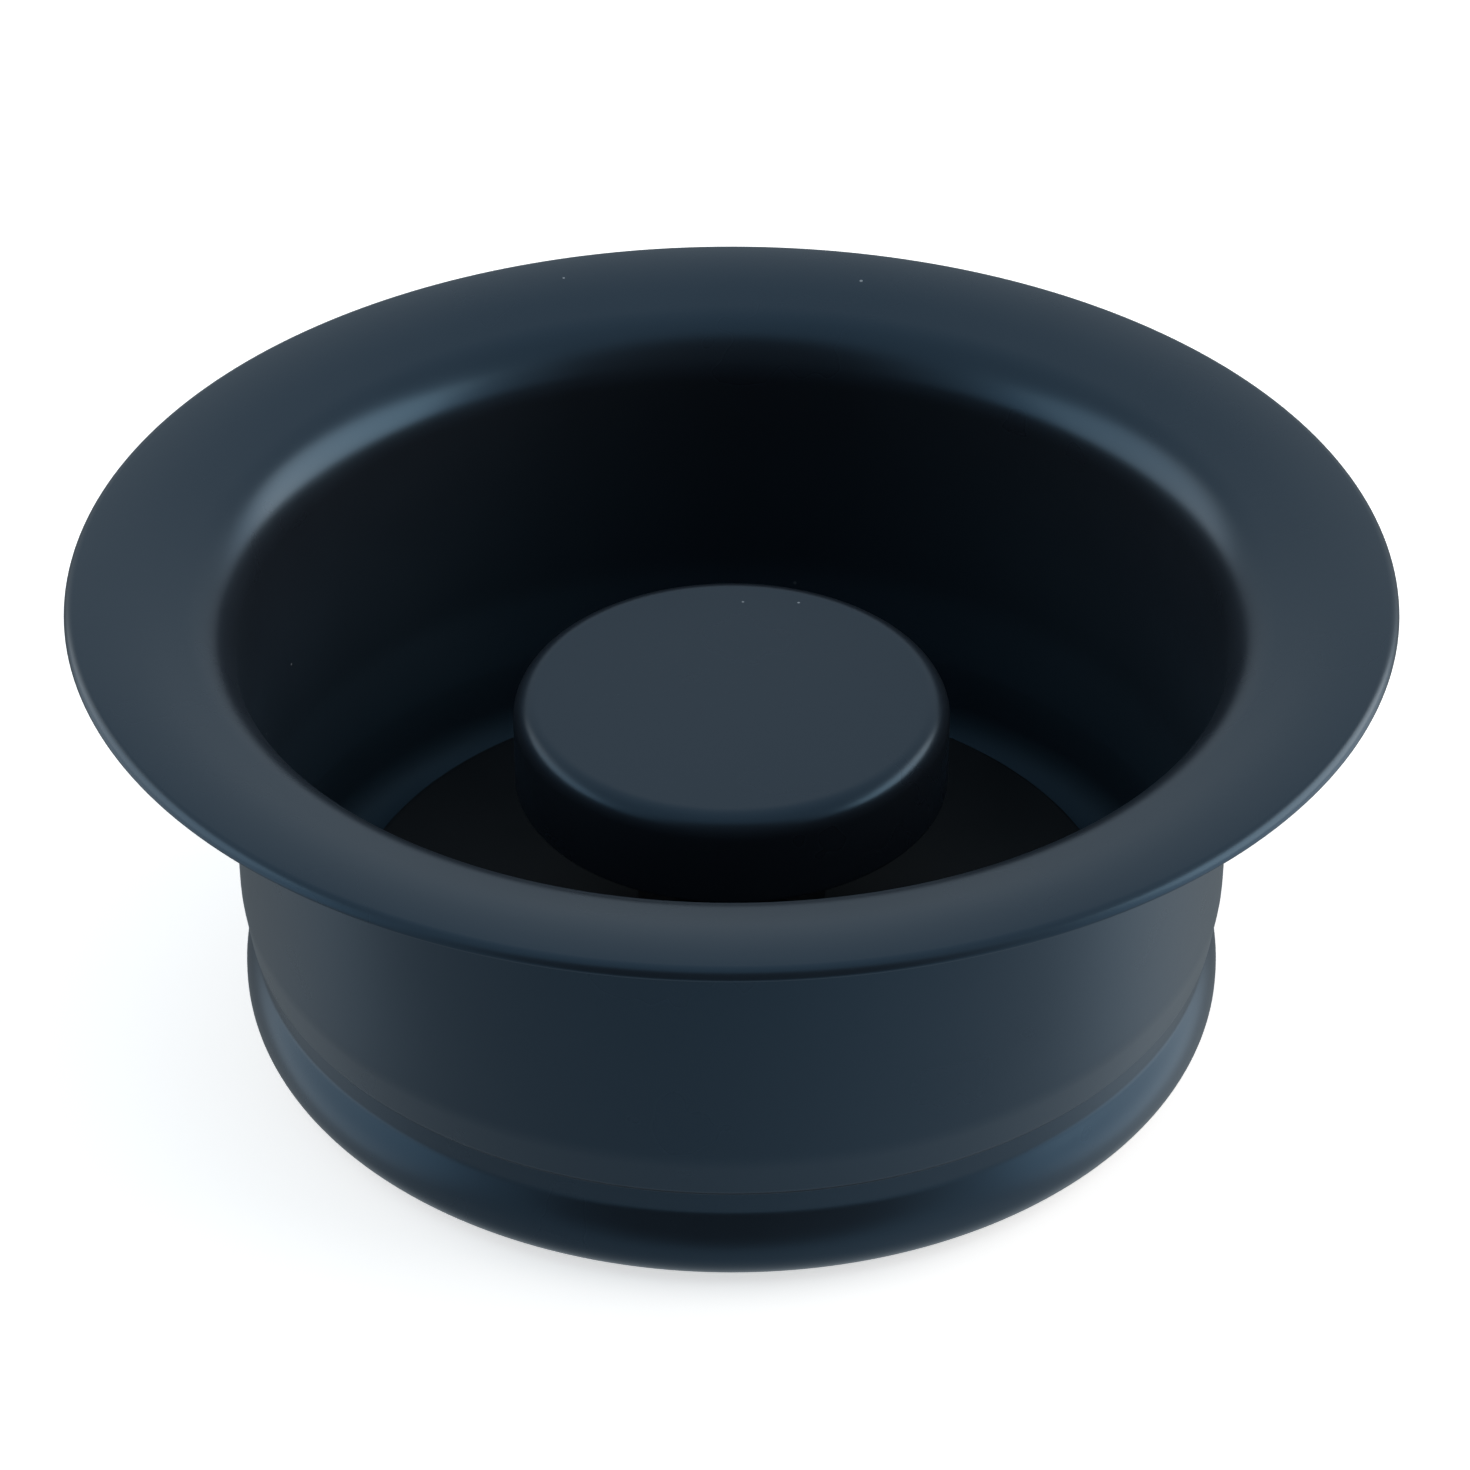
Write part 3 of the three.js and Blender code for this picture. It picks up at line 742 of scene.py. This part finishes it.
def besides(chain, distance):
    """The chain moved to the right-hand side of its way."""
    ways = [side.normalized() for side in sides(chain)]
    moved = []
    for i, (radius, height, curve) in enumerate(chain):
        before, after = ways[max(i - 1, 0)], ways[min(i, len(ways) - 1)]
        share = distance / (1 + before.dot(after))
        sense = before.x * after.y - before.y * after.x
        grown = curve + math.copysign(distance, sense) if sense else curve
        moved.append((radius + (before.y + after.y) * share, height - (before.x + after.x) * share,
                      max(grown, 0)))
    return moved


def bent(chain):
    """Points (radius, height) along the chain, with an arc of short steps at each corner."""
    points = [chain[0][:2]]
    ways = [side.normalized() for side in sides(chain)]
    for (radius, height, curve), before, after in zip(chain[1:-1], ways, ways[1:]):
        turn = math.atan2(before.x * after.y - before.y * after.x, before.dot(after))
        reach = curve * math.tan(abs(turn) / 2)
        if reach == 0:
            points.append((radius, height))
            continue
        start = (radius - reach * before.x, height - reach * before.y)
        bend = math.copysign(curve, turn)
        centre = (start[0] - bend * before.y, start[1] + bend * before.x)
        first = bearing(centre, start)
        steps = math.ceil(abs(math.degrees(turn)) / BEND_STEP)
        points.extend(arc(centre, curve, first, first + math.degrees(turn), steps))
    points.append(chain[-1][:2])
    return points


print("bends are drawn in steps of", BEND_STEP, "degrees at most")

# %% [markdown]
# The flange's height and the rim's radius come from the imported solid, and the rest of the flange is
# measured from them. The rim reaches out over the sink, ends in a flat land that lies on it, and runs
# inwards into the lip of the well. At the bottom a seat reaches in from the wall to the drain hole.

# %% Flange: sizes
SHEET = 1.0 * mm
RIM_REACH = 13.2 * mm
RIM_LAND = 2.6 * mm
RIM_LAND_BLEND = 1.5 * mm
RIM_CROWN = 2.2 * mm
RIM_ROLL_RADIUS = 20 * mm
RIM_DISH_RADIUS = 77 * mm
LIP_RADIUS = 5.8 * mm
LIP_DROP = 1.2 * mm
SEAT_REACH = 8.95 * mm

flange_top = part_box("sink_flange")[1].z
rim_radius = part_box("sink_flange")[1].x
wall_radius = rim_radius - RIM_REACH
well_radius = wall_radius - SHEET
hole_radius = well_radius - SEAT_REACH
lip_centre = (well_radius + LIP_RADIUS, flange_top - LIP_DROP - LIP_RADIUS)
print("rim, wall, well and hole radii, mm:",
      [round(r / mm, 2) for r in (rim_radius, wall_radius, well_radius, hole_radius)])

# %% [markdown]
# Down the outside, the wall first leans in a little and then dives into the groove, where the hanging
# ring of the disposal sits. From the groove's crease a shoulder leads out again, and the bead swells
# back to the full width before the sheet turns under to the floor. Each corner below has a height over
# the base, a depth behind the wall where it has one, and the radius of its bend.

# %% Flange: corners of the wall's outside
BROW_HEIGHT, BROW_BEND = 14.3 * mm, 8 * mm
LEAN_HEIGHT, LEAN_DEPTH, LEAN_BEND = 10.6 * mm, 0.5 * mm, 0.6 * mm
GROOVE_DEPTH = 1.1 * mm
GROOVE_TOP, GROOVE_TOP_BEND = 10.1 * mm, 0.3 * mm
CREASE_HEIGHT, CREASE_BEND = 7.9 * mm, 1.2 * mm
SHOULDER_HEIGHT, SHOULDER_BEND = 5.8 * mm, 6.5 * mm
BEAD_HEIGHT, BEAD_BEND = 1.68 * mm, 3.1 * mm
FOOT_DEPTH = 4.62 * mm

wall_outside = [
    (wall_radius, lip_centre[1], 0),
    (wall_radius, BROW_HEIGHT, BROW_BEND),
    (wall_radius - LEAN_DEPTH, LEAN_HEIGHT, LEAN_BEND),
    (wall_radius - GROOVE_DEPTH, GROOVE_TOP, GROOVE_TOP_BEND),
    (wall_radius - GROOVE_DEPTH, CREASE_HEIGHT, CREASE_BEND),
    (wall_radius, SHOULDER_HEIGHT, SHOULDER_BEND),
    (wall_radius, BEAD_HEIGHT, BEAD_BEND),
    (wall_radius - FOOT_DEPTH, 0, 0),
    (hole_radius + SHEET / 2, 0, 0),
]
print("the wall's outside has", len(wall_outside), "corners")

# %% [markdown]
# Inside, the wall stays smooth. It passes the groove in one low swell and meets the floor in a wide
# round, and the floor keeps one sheet's thickness from the base.

# %% Flange: corners of the wall's inside
SWELL_TOP, SWELL_TOP_BEND = 16.4 * mm, 14 * mm
SWELL_HEIGHT, SWELL_DEPTH, SWELL_BEND = 9.4 * mm, 0.95 * mm, 16 * mm
FLOOR_TURN, FLOOR_TURN_DEPTH, FLOOR_TURN_BEND = 2.1 * mm, 0.75 * mm, 3.8 * mm

wall_inside = [
    (well_radius, lip_centre[1], 0),
    (well_radius, SWELL_TOP, SWELL_TOP_BEND),
    (well_radius - SWELL_DEPTH, SWELL_HEIGHT, SWELL_BEND),
    (well_radius - FLOOR_TURN_DEPTH, FLOOR_TURN, FLOOR_TURN_BEND),
    *besides(wall_outside, SHEET)[-2:],
]
print("the wall's inside has", len(wall_inside), "corners")

# %% [markdown]
# The rim's top is a slow dish. Outwards it runs into a wide roll with its crown near the edge, and
# inwards into the round of the lip. Two circles touch from inside when their centres are as far apart
# as their radii differ, so the crossing of two such distances gives the centre of the dish.

# %% Flange: the rim's dish
def lower_crossing(a, reach_a, b, reach_b):
    """The lower of the two points at one distance from a and another from b, with b inwards of a."""
    between = math.dist(a, b)
    along = (reach_a ** 2 - reach_b ** 2 + between ** 2) / (2 * between)
    aside = math.sqrt(reach_a ** 2 - along ** 2)
    unit = ((b[0] - a[0]) / between, (b[1] - a[1]) / between)
    return (a[0] + along * unit[0] - aside * unit[1], a[1] + along * unit[1] + aside * unit[0])


roll_centre = (rim_radius - RIM_CROWN, flange_top - RIM_ROLL_RADIUS)
dish_centre = lower_crossing(roll_centre, RIM_DISH_RADIUS - RIM_ROLL_RADIUS,
                             lip_centre, RIM_DISH_RADIUS - LIP_RADIUS)
lip_bearing = bearing(dish_centre, lip_centre)
roll_bearing = bearing(dish_centre, roll_centre)
print("the dish slopes from", round(roll_bearing - 90, 1), "to", round(lip_bearing - 90, 1), "degrees")

# %% [markdown]
# At the rim's edge the roll runs into one tight round. Its radius follows from the roll, the crown and
# the sheet, so that the round ends level with the land's underside. Under the rim the land is flat,
# and a short blend leads from it into the underside of the dish, one sheet below the top. The edge of
# the drain hole is a plain half round.

# %% Flange: the rim's top and underside
def rim_top():
    under_roll = (RIM_ROLL_RADIUS - SHEET) ** 2
    edge_round = (RIM_ROLL_RADIUS ** 2 - RIM_CROWN ** 2 - under_roll) / (RIM_ROLL_RADIUS - RIM_CROWN) / 2
    edge_reach = RIM_ROLL_RADIUS - edge_round
    edge_bearing = math.degrees(math.acos((RIM_CROWN - edge_round) / edge_reach))
    edge_centre = arc(roll_centre, edge_reach, edge_bearing, edge_bearing, steps=1)[0]
    return [
        *arc(lip_centre, LIP_RADIUS, 180, lip_bearing, steps=18),
        *arc(dish_centre, RIM_DISH_RADIUS, lip_bearing, roll_bearing, steps=10),
        *arc(roll_centre, RIM_ROLL_RADIUS, roll_bearing, edge_bearing, steps=8),
        *arc(edge_centre, edge_round, edge_bearing, 0, steps=12),
    ]


def rim_underside():
    under = RIM_DISH_RADIUS - SHEET
    blend = rim_radius - RIM_LAND - RIM_LAND_BLEND
    blend_bearing = math.degrees(math.acos((blend - dish_centre[0]) / under))
    return [
        (rim_radius, flange_top - SHEET),
        (rim_radius - RIM_LAND, flange_top - SHEET),
        *arc(dish_centre, under, blend_bearing, lip_bearing, steps=6),
        *arc(lip_centre, LIP_RADIUS - SHEET, lip_bearing, 180, steps=16),
    ]


def hole_edge():
    return arc((hole_radius + SHEET / 2, SHEET / 2), SHEET / 2, 270, 90, steps=10)


flange_section = [
    *rim_underside(),
    *bent(wall_outside),
    *hole_edge(),
    *reversed(bent(wall_inside)),
    *rim_top(),
]
print("the flange's section has", len(flange_section), "points")

# %% [markdown]
# The whole section is one closed chain, so a single spin makes the flange as one sheet. Its vertices
# then carry how deep they lie in the well, which the coat's material reads to make it rougher and to
# paint its tone paler as painted light. Only what faces inwards or upwards counts as the well, so the
# outside of the wall keeps its gloss and its own tone.

# %% Flange: the piece, and its depth in the well
DULL_BELOW = 10 * mm
BRIGHT_ABOVE = 30 * mm
FACING_OUT = 0.3

flange = make_piece(turned(flange_section, WIDE_STEPS), "sink_flange", "flange", coat)


def mark_depth(piece):
    depth = piece.data.attributes.new("well_depth", "FLOAT", "POINT")
    for vert in piece.data.vertices:
        outwards = vert.normal.xy.dot(vert.co.xy.normalized())
        level = (BRIGHT_ABOVE - vert.co.z) / (BRIGHT_ABOVE - DULL_BELOW)
        inside = outwards < FACING_OUT and vert.normal.z > -FACING_OUT
        depth.data[vert.index].value = min(max(level, 0), 1) if inside else 0


mark_depth(flange)
print("the well's depth is marked on", flange.name)

# %% [markdown]
# ## The knob
#
# The knob is a flat puck: a formed cap over a moulded core. The cap's top edge has a full round that
# catches a soft line of light, and its lower edge is just the cut edge of the sheet.

# %% Knob cap
KNOB_EDGE = 2.0 * mm
CAP_WALL = 0.9 * mm


def knob_cap():
    low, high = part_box("knob_cap")
    centre = (high.x - KNOB_EDGE, high.z - KNOB_EDGE)
    section = [
        (0, high.z),
        *arc(centre, KNOB_EDGE, 90, 0, steps=16),
        (high.x, low.z),
        (high.x - CAP_WALL, low.z),
        *arc(centre, KNOB_EDGE - CAP_WALL, 0, 90, steps=10),
        (0, high.z - CAP_WALL),
    ]
    return make_piece(turned(section, WIDE_STEPS, closed=False), "knob_cap", "stopper", knob_coat)


knob_cap()

# %% [markdown]
# ## The disc
#
# The disc that closes the drain is flat on top with a crisp edge. Under the edge a skirt presses on
# the seal, and the channel behind the skirt holds the seal's bead.

# %% Stopper disc
SKIRT_WIDTH = 2.5 * mm
CHANNEL_DEPTH = 0.85 * mm
SCREW_HOLE = 2.75 * mm


def stopper_disc():
    low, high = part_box("stopper_disc")
    section = [
        (SCREW_HOLE, high.z),
        (high.x, high.z),
        (high.x, low.z),
        (high.x - SKIRT_WIDTH, low.z),
        (high.x - SKIRT_WIDTH, low.z + CHANNEL_DEPTH),
        (SCREW_HOLE, low.z + CHANNEL_DEPTH),
    ]
    return make_piece(turned(section, WIDE_STEPS), "stopper_disc", "stopper", plastic)


stopper_disc()

# %% [markdown]
# ## Joining and cutting solids
#
# Ribs, lugs and pockets break the round shape, so they can't be turned. They are built as small solids
# of their own and joined to the turned body, or cut out of it, with a Boolean modifier. The body and
# its tools are plain objects for a moment, and are removed once the result has been read back.
#
# The Exact solver takes two faces as level only when their heights are the same to the last bit. The
# retainer's lugs lie level with its ledge, so all heights are first rounded to a tenth of a micrometre.
# Otherwise the join would keep a double skin there.

# %% Boolean helper
HEIGHT_DIGITS = 7


def temporary_object(bm, name):
    mesh = bpy.data.meshes.new(name)
    bm.to_mesh(mesh)
    bm.free()
    thing = bpy.data.objects.new(name, mesh)
    scene.collection.objects.link(thing)
    return thing


def combined(body, tools, operation):
    """A bmesh of the body with every tool joined on (UNION) or cut away (DIFFERENCE)."""
    for bm in [body, *tools]:
        for vert in bm.verts:
            vert.co.z = round(vert.co.z, HEIGHT_DIGITS)
    base = temporary_object(body, "boolean body")
    cutters = [temporary_object(tool, "boolean tool") for tool in tools]
    for cutter in cutters:
        step = base.modifiers.new("combine", "BOOLEAN")
        step.operation = operation
        step.solver = "EXACT"
        step.object = cutter
    ready = base.evaluated_get(bpy.context.evaluated_depsgraph_get())
    result = bmesh.new()
    result.from_mesh(ready.to_mesh())
    for thing in [base, *cutters]:
        mesh = thing.data
        bpy.data.objects.remove(thing)
        bpy.data.meshes.remove(mesh)
    if not result.faces:
        raise RuntimeError("The Boolean left nothing: a body or a tool crosses itself.")
    bmesh.ops.remove_doubles(result, verts=result.verts, dist=WELD)
    return result


print("tools are joined or cut one after another, by the Exact solver")

# %% [markdown]
# Two kinds of tool are enough for this part: a block, and a sector of a ring. Both have their edges
# broken before they are used. A bevel wider than the edges that it meets folds over itself, and the
# Exact solver then gives back nothing, so a sector's steps are at least BEVEL_ROOM bevels long.

# %% Blocks and sectors
BEVEL_ROOM = 2.5


def block(size, centre, turn, edge_break=EDGE_BREAK):
    """A box with broken edges, placed by its centre and then turned about the Z axis."""
    bm = bmesh.new()
    bmesh.ops.create_cube(bm, size=1)
    bmesh.ops.scale(bm, verts=bm.verts, vec=size)
    break_edges(bm, bm.edges[:], edge_break, "EDGES")
    bmesh.ops.translate(bm, verts=bm.verts, vec=centre)
    bmesh.ops.rotate(bm, verts=bm.verts, cent=(0, 0, 0), matrix=Matrix.Rotation(turn, 3, "Z"))
    return bm


def sector(inner, outer, direction, spread, bottom, top, edge_break=EDGE_BREAK):
    """A block between two radii that covers an angle, centred on a direction in radians."""
    bm = bmesh.new()
    finest = int(inner * spread / (BEVEL_ROOM * edge_break))
    steps = max(2, min(finest, round(WIDE_STEPS * spread / (2 * math.pi))))
    turns = [direction - spread / 2 + spread * i / steps for i in range(steps + 1)]
    outline = [(outer, t) for t in turns] + [(inner, t) for t in reversed(turns)]
    verts = [bm.verts.new((r * math.cos(t), r * math.sin(t), bottom)) for r, t in outline]
    face = bm.faces.new(verts)
    grown = bmesh.ops.extrude_face_region(bm, geom=[face])
    raised = [item for item in grown["geom"] if isinstance(item, bmesh.types.BMVert)]
    bmesh.ops.translate(bm, verts=raised, vec=(0, 0, top - bottom))
    bmesh.ops.recalc_face_normals(bm, faces=bm.faces)
    rims = [edge for edge in bm.edges if edge.calc_face_angle(0) > CORNER]
    break_edges(bm, rims, edge_break, "EDGES")
    return bm


print("a sector's steps are at least", BEVEL_ROOM, "bevels long")

# %% [markdown]
# ## The seal
#
# The seal's thin lip spreads over the seat and shows as a narrow ring round the disc. Its upper part
# fills the channel behind the disc's skirt, and the ledge of the retainer holds it from below.

# %% Seal ring
SEAL_ROUND = 0.5 * mm
SEAL_RELIEF = 0.25 * mm
SEAL_THICKNESS = 2.2 * mm
SEAL_BORE = 29.0 * mm
SEAL_PLAY = 0.1 * mm
GUIDE_RADIUS = 33.4 * mm
DISC_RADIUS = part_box("stopper_disc")[1].x


def seal_ring():
    low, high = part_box("seal_ring")
    bead = DISC_RADIUS - SKIRT_WIDTH - SEAL_PLAY
    section = [
        (SEAL_BORE, low.z + SEAL_RELIEF),
        (GUIDE_RADIUS + SEAL_PLAY, low.z + SEAL_RELIEF),
        (hole_radius + SEAL_RELIEF, low.z),
        *arc((high.x - SEAL_ROUND, low.z + SEAL_ROUND), SEAL_ROUND, -90, 0, steps=8),
        (DISC_RADIUS, low.z + SEAL_THICKNESS),
        (bead, low.z + SEAL_THICKNESS),
        (bead, high.z),
        (SEAL_BORE, high.z),
    ]
    return make_piece(turned(section, WIDE_STEPS), "seal_ring", "seal", rubber)


seal_ring()

# %% [markdown]
# ## The retainer
#
# The retainer is the ribbed part under the disc. Its hub fills the seal's bore, its ledge carries the
# seal, and four lugs on the ledge guide the stopper into the drain hole.

# %% Seal retainer
HUB_RADIUS = 28.9 * mm
LEDGE_RADIUS = 32.4 * mm
LEDGE_THICKNESS = 0.8 * mm
RETAINER_RING = 2.4 * mm
WEB_THICKNESS = 1.4 * mm
BOSS_BORE = 7.0 * mm
BOSS_WALL = 1.2 * mm
RIBS = 8
RIB_THICKNESS = 1.3 * mm
RIB_LIFT = 0.5 * mm
LUGS = 4
LUG_SPREAD = math.radians(16)


def seal_retainer():
    low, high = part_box("seal_retainer")
    web = high.z - WEB_THICKNESS
    ledge = low.z + LEDGE_THICKNESS
    ring = HUB_RADIUS - RETAINER_RING
    boss = BOSS_BORE + BOSS_WALL
    section = [
        (SCREW_HOLE, high.z),
        (HUB_RADIUS, high.z),
        (HUB_RADIUS, ledge),
        (LEDGE_RADIUS, ledge),
        (LEDGE_RADIUS, low.z),
        (ring, low.z),
        (ring, web),
        (boss, web),
        (boss, low.z + RIB_LIFT),
        (BOSS_BORE, low.z + RIB_LIFT),
        (BOSS_BORE, web),
        (SCREW_HOLE, web),
    ]
    start, end = boss - BOSS_WALL / 2, ring + RETAINER_RING / 2
    height = web + WEB_THICKNESS / 2 - low.z - RIB_LIFT
    size = (end - start, RIB_THICKNESS, height)
    centre = ((start + end) / 2, 0, low.z + RIB_LIFT + height / 2)
    ribs = [block(size, centre, 2 * math.pi * (i + 0.5) / RIBS) for i in range(RIBS)]
    lugs = [sector(HUB_RADIUS, GUIDE_RADIUS, 2 * math.pi * i / LUGS, LUG_SPREAD, low.z, ledge)
            for i in range(LUGS)]
    bm = combined(turned(section, WIDE_STEPS), ribs + lugs, "UNION")
    return make_piece(bm, "seal_retainer", "stopper", plastic)


seal_retainer()

# %% [markdown]
# ## The stem
#
# A hollow stem carries the knob. It widens into a foot over a smooth fillet, and a small rubber ring
# lies in a groove under the foot, where it keeps water away from the screw.

# %% Stem sleeve and its ring
STEM_RADIUS = 5.0 * mm
FOOT_HEIGHT = 2.4 * mm
FOOT_FILLET = 3.0 * mm
RING_SECTION = 0.9 * mm
RING_RADIUS = 5.3 * mm
RING_GROOVE = 1.1 * mm
RING_ROOM = 0.05 * mm
RING_POINTS = 24


def stem_sleeve():
    low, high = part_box("stem_sleeve")
    foot = low.z + FOOT_HEIGHT
    roof = low.z + 2 * RING_SECTION + RING_ROOM
    section = [
        (SCREW_HOLE, low.z),
        (RING_RADIUS - RING_GROOVE, low.z),
        (RING_RADIUS - RING_GROOVE, roof),
        (RING_RADIUS + RING_GROOVE, roof),
        (RING_RADIUS + RING_GROOVE, low.z),
        (high.x, low.z),
        (high.x, foot),
        *arc((STEM_RADIUS + FOOT_FILLET, foot + FOOT_FILLET), FOOT_FILLET, 270, 180, steps=12),
        (STEM_RADIUS, high.z),
        (SCREW_HOLE, high.z),
    ]
    return make_piece(turned(section, SMALL_STEPS), "stem_sleeve", "stopper", plastic)


def stem_o_ring():
    low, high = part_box("stem_o_ring")
    centre = (RING_RADIUS, low.z + RING_SECTION)
    section = arc(centre, RING_SECTION, 0, 360 - 360 / RING_POINTS, steps=RING_POINTS - 1)
    bm = turned(section, SMALL_STEPS, edge_break=0)
    return make_piece(bm, "stem_o_ring", "stopper", rubber)


stem_sleeve()
stem_o_ring()

# %% [markdown]
# ## The knob's core
#
# Under its cap the knob is a moulded puck. Pockets in its underside keep its wall even in thickness, as
# moulders like it, and leave six ribs between a boss for the insert and an outer rim.

# %% Knob core
CORE_EDGE = KNOB_EDGE - CAP_WALL
CORE_RIM = 2.0 * mm
INSERT_BORE = 4.0 * mm
INSERT_WALL = 3.5 * mm
INSERT_ROOF = 0.85 * mm
POCKETS = 6
POCKET_ROOF = 2.45 * mm
POCKET_RIB = 1.6 * mm
POCKET_EDGE = 0.4 * mm
CUT_PAST = 1.0 * mm


def knob_core():
    low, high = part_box("knob_core")
    section = [
        (0, high.z),
        *arc((high.x - CORE_EDGE, high.z - CORE_EDGE), CORE_EDGE, 90, 0, steps=10),
        (high.x, low.z),
        (INSERT_BORE, low.z),
        (INSERT_BORE, high.z - INSERT_ROOF),
        (0, high.z - INSERT_ROOF),
    ]
    inner = INSERT_BORE + INSERT_WALL
    pitch = 2 * math.pi / POCKETS
    pockets = [
        sector(inner, high.x - CORE_RIM, pitch * i, pitch - POCKET_RIB / inner,
               low.z - CUT_PAST, high.z - POCKET_ROOF, edge_break=POCKET_EDGE)
        for i in range(POCKETS)
    ]
    bm = combined(turned(section, WIDE_STEPS, closed=False), pockets, "DIFFERENCE")
    return make_piece(bm, "knob_core", "stopper", plastic)


knob_core()

# %% [markdown]
# ## The fastener
#
# A brass insert in the core takes the screw, which comes up from below through the retainer, the disc
# and the stem. A groove round the insert's waist keys it into the moulding. A washer spreads the
# screw's pull over the retainer's web.

# %% Insert and washer
SCREW_RADIUS = 2.5 * mm
THREAD_GAP = 0.06 * mm
INSERT_GROOVE = 0.4 * mm


def threaded_insert():
    low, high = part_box("threaded_insert")
    third = (high.z - low.z) / 3
    waist = high.x - INSERT_GROOVE
    section = [
        (SCREW_RADIUS + THREAD_GAP, low.z),
        (high.x, low.z),
        (high.x, low.z + third),
        (waist, low.z + third + INSERT_GROOVE),
        (waist, high.z - third - INSERT_GROOVE),
        (high.x, high.z - third),
        (high.x, high.z),
        (SCREW_RADIUS + THREAD_GAP, high.z),
    ]
    return make_piece(turned(section, SMALL_STEPS), "threaded_insert", "stopper", brass)


def clamp_washer():
    low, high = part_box("clamp_washer")
    section = [(SCREW_HOLE, low.z), (high.x, low.z), (high.x, high.z), (SCREW_HOLE, high.z)]
    return make_piece(turned(section, SMALL_STEPS), "clamp_washer", "stopper", steel)


threaded_insert()
clamp_washer()

# %% [markdown]
# The screw has a low domed head with a cross recess. Two blocks at right angles cut the recess, and the
# point is chamfered so that it finds the insert.

# %% Screw
HEAD_RADIUS = 4.75 * mm
HEAD_HEIGHT = 1.4 * mm
SCREW_POINT = 0.3 * mm
CROSS_LENGTH = 5.0 * mm
CROSS_WIDTH = 1.1 * mm
CROSS_DEPTH = 0.8 * mm


def clamp_screw():
    low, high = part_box("clamp_screw")
    dome = (HEAD_RADIUS ** 2 + HEAD_HEIGHT ** 2) / (2 * HEAD_HEIGHT)
    turn = math.degrees(math.asin(HEAD_RADIUS / dome))
    section = [
        *arc((0, low.z + dome), dome, -90, turn - 90, steps=12),
        (SCREW_RADIUS, low.z + HEAD_HEIGHT),
        (SCREW_RADIUS, high.z - SCREW_POINT),
        (SCREW_RADIUS - SCREW_POINT, high.z),
        (0, high.z),
    ]
    size = (CROSS_LENGTH, CROSS_WIDTH, 2 * CROSS_DEPTH)
    recess = [block(size, (0, 0, low.z), turn_by) for turn_by in (0, math.pi / 2)]
    bm = combined(turned(section, SMALL_STEPS, closed=False), recess, "DIFFERENCE")
    return make_piece(bm, "clamp_screw", "stopper", steel)


clamp_screw()
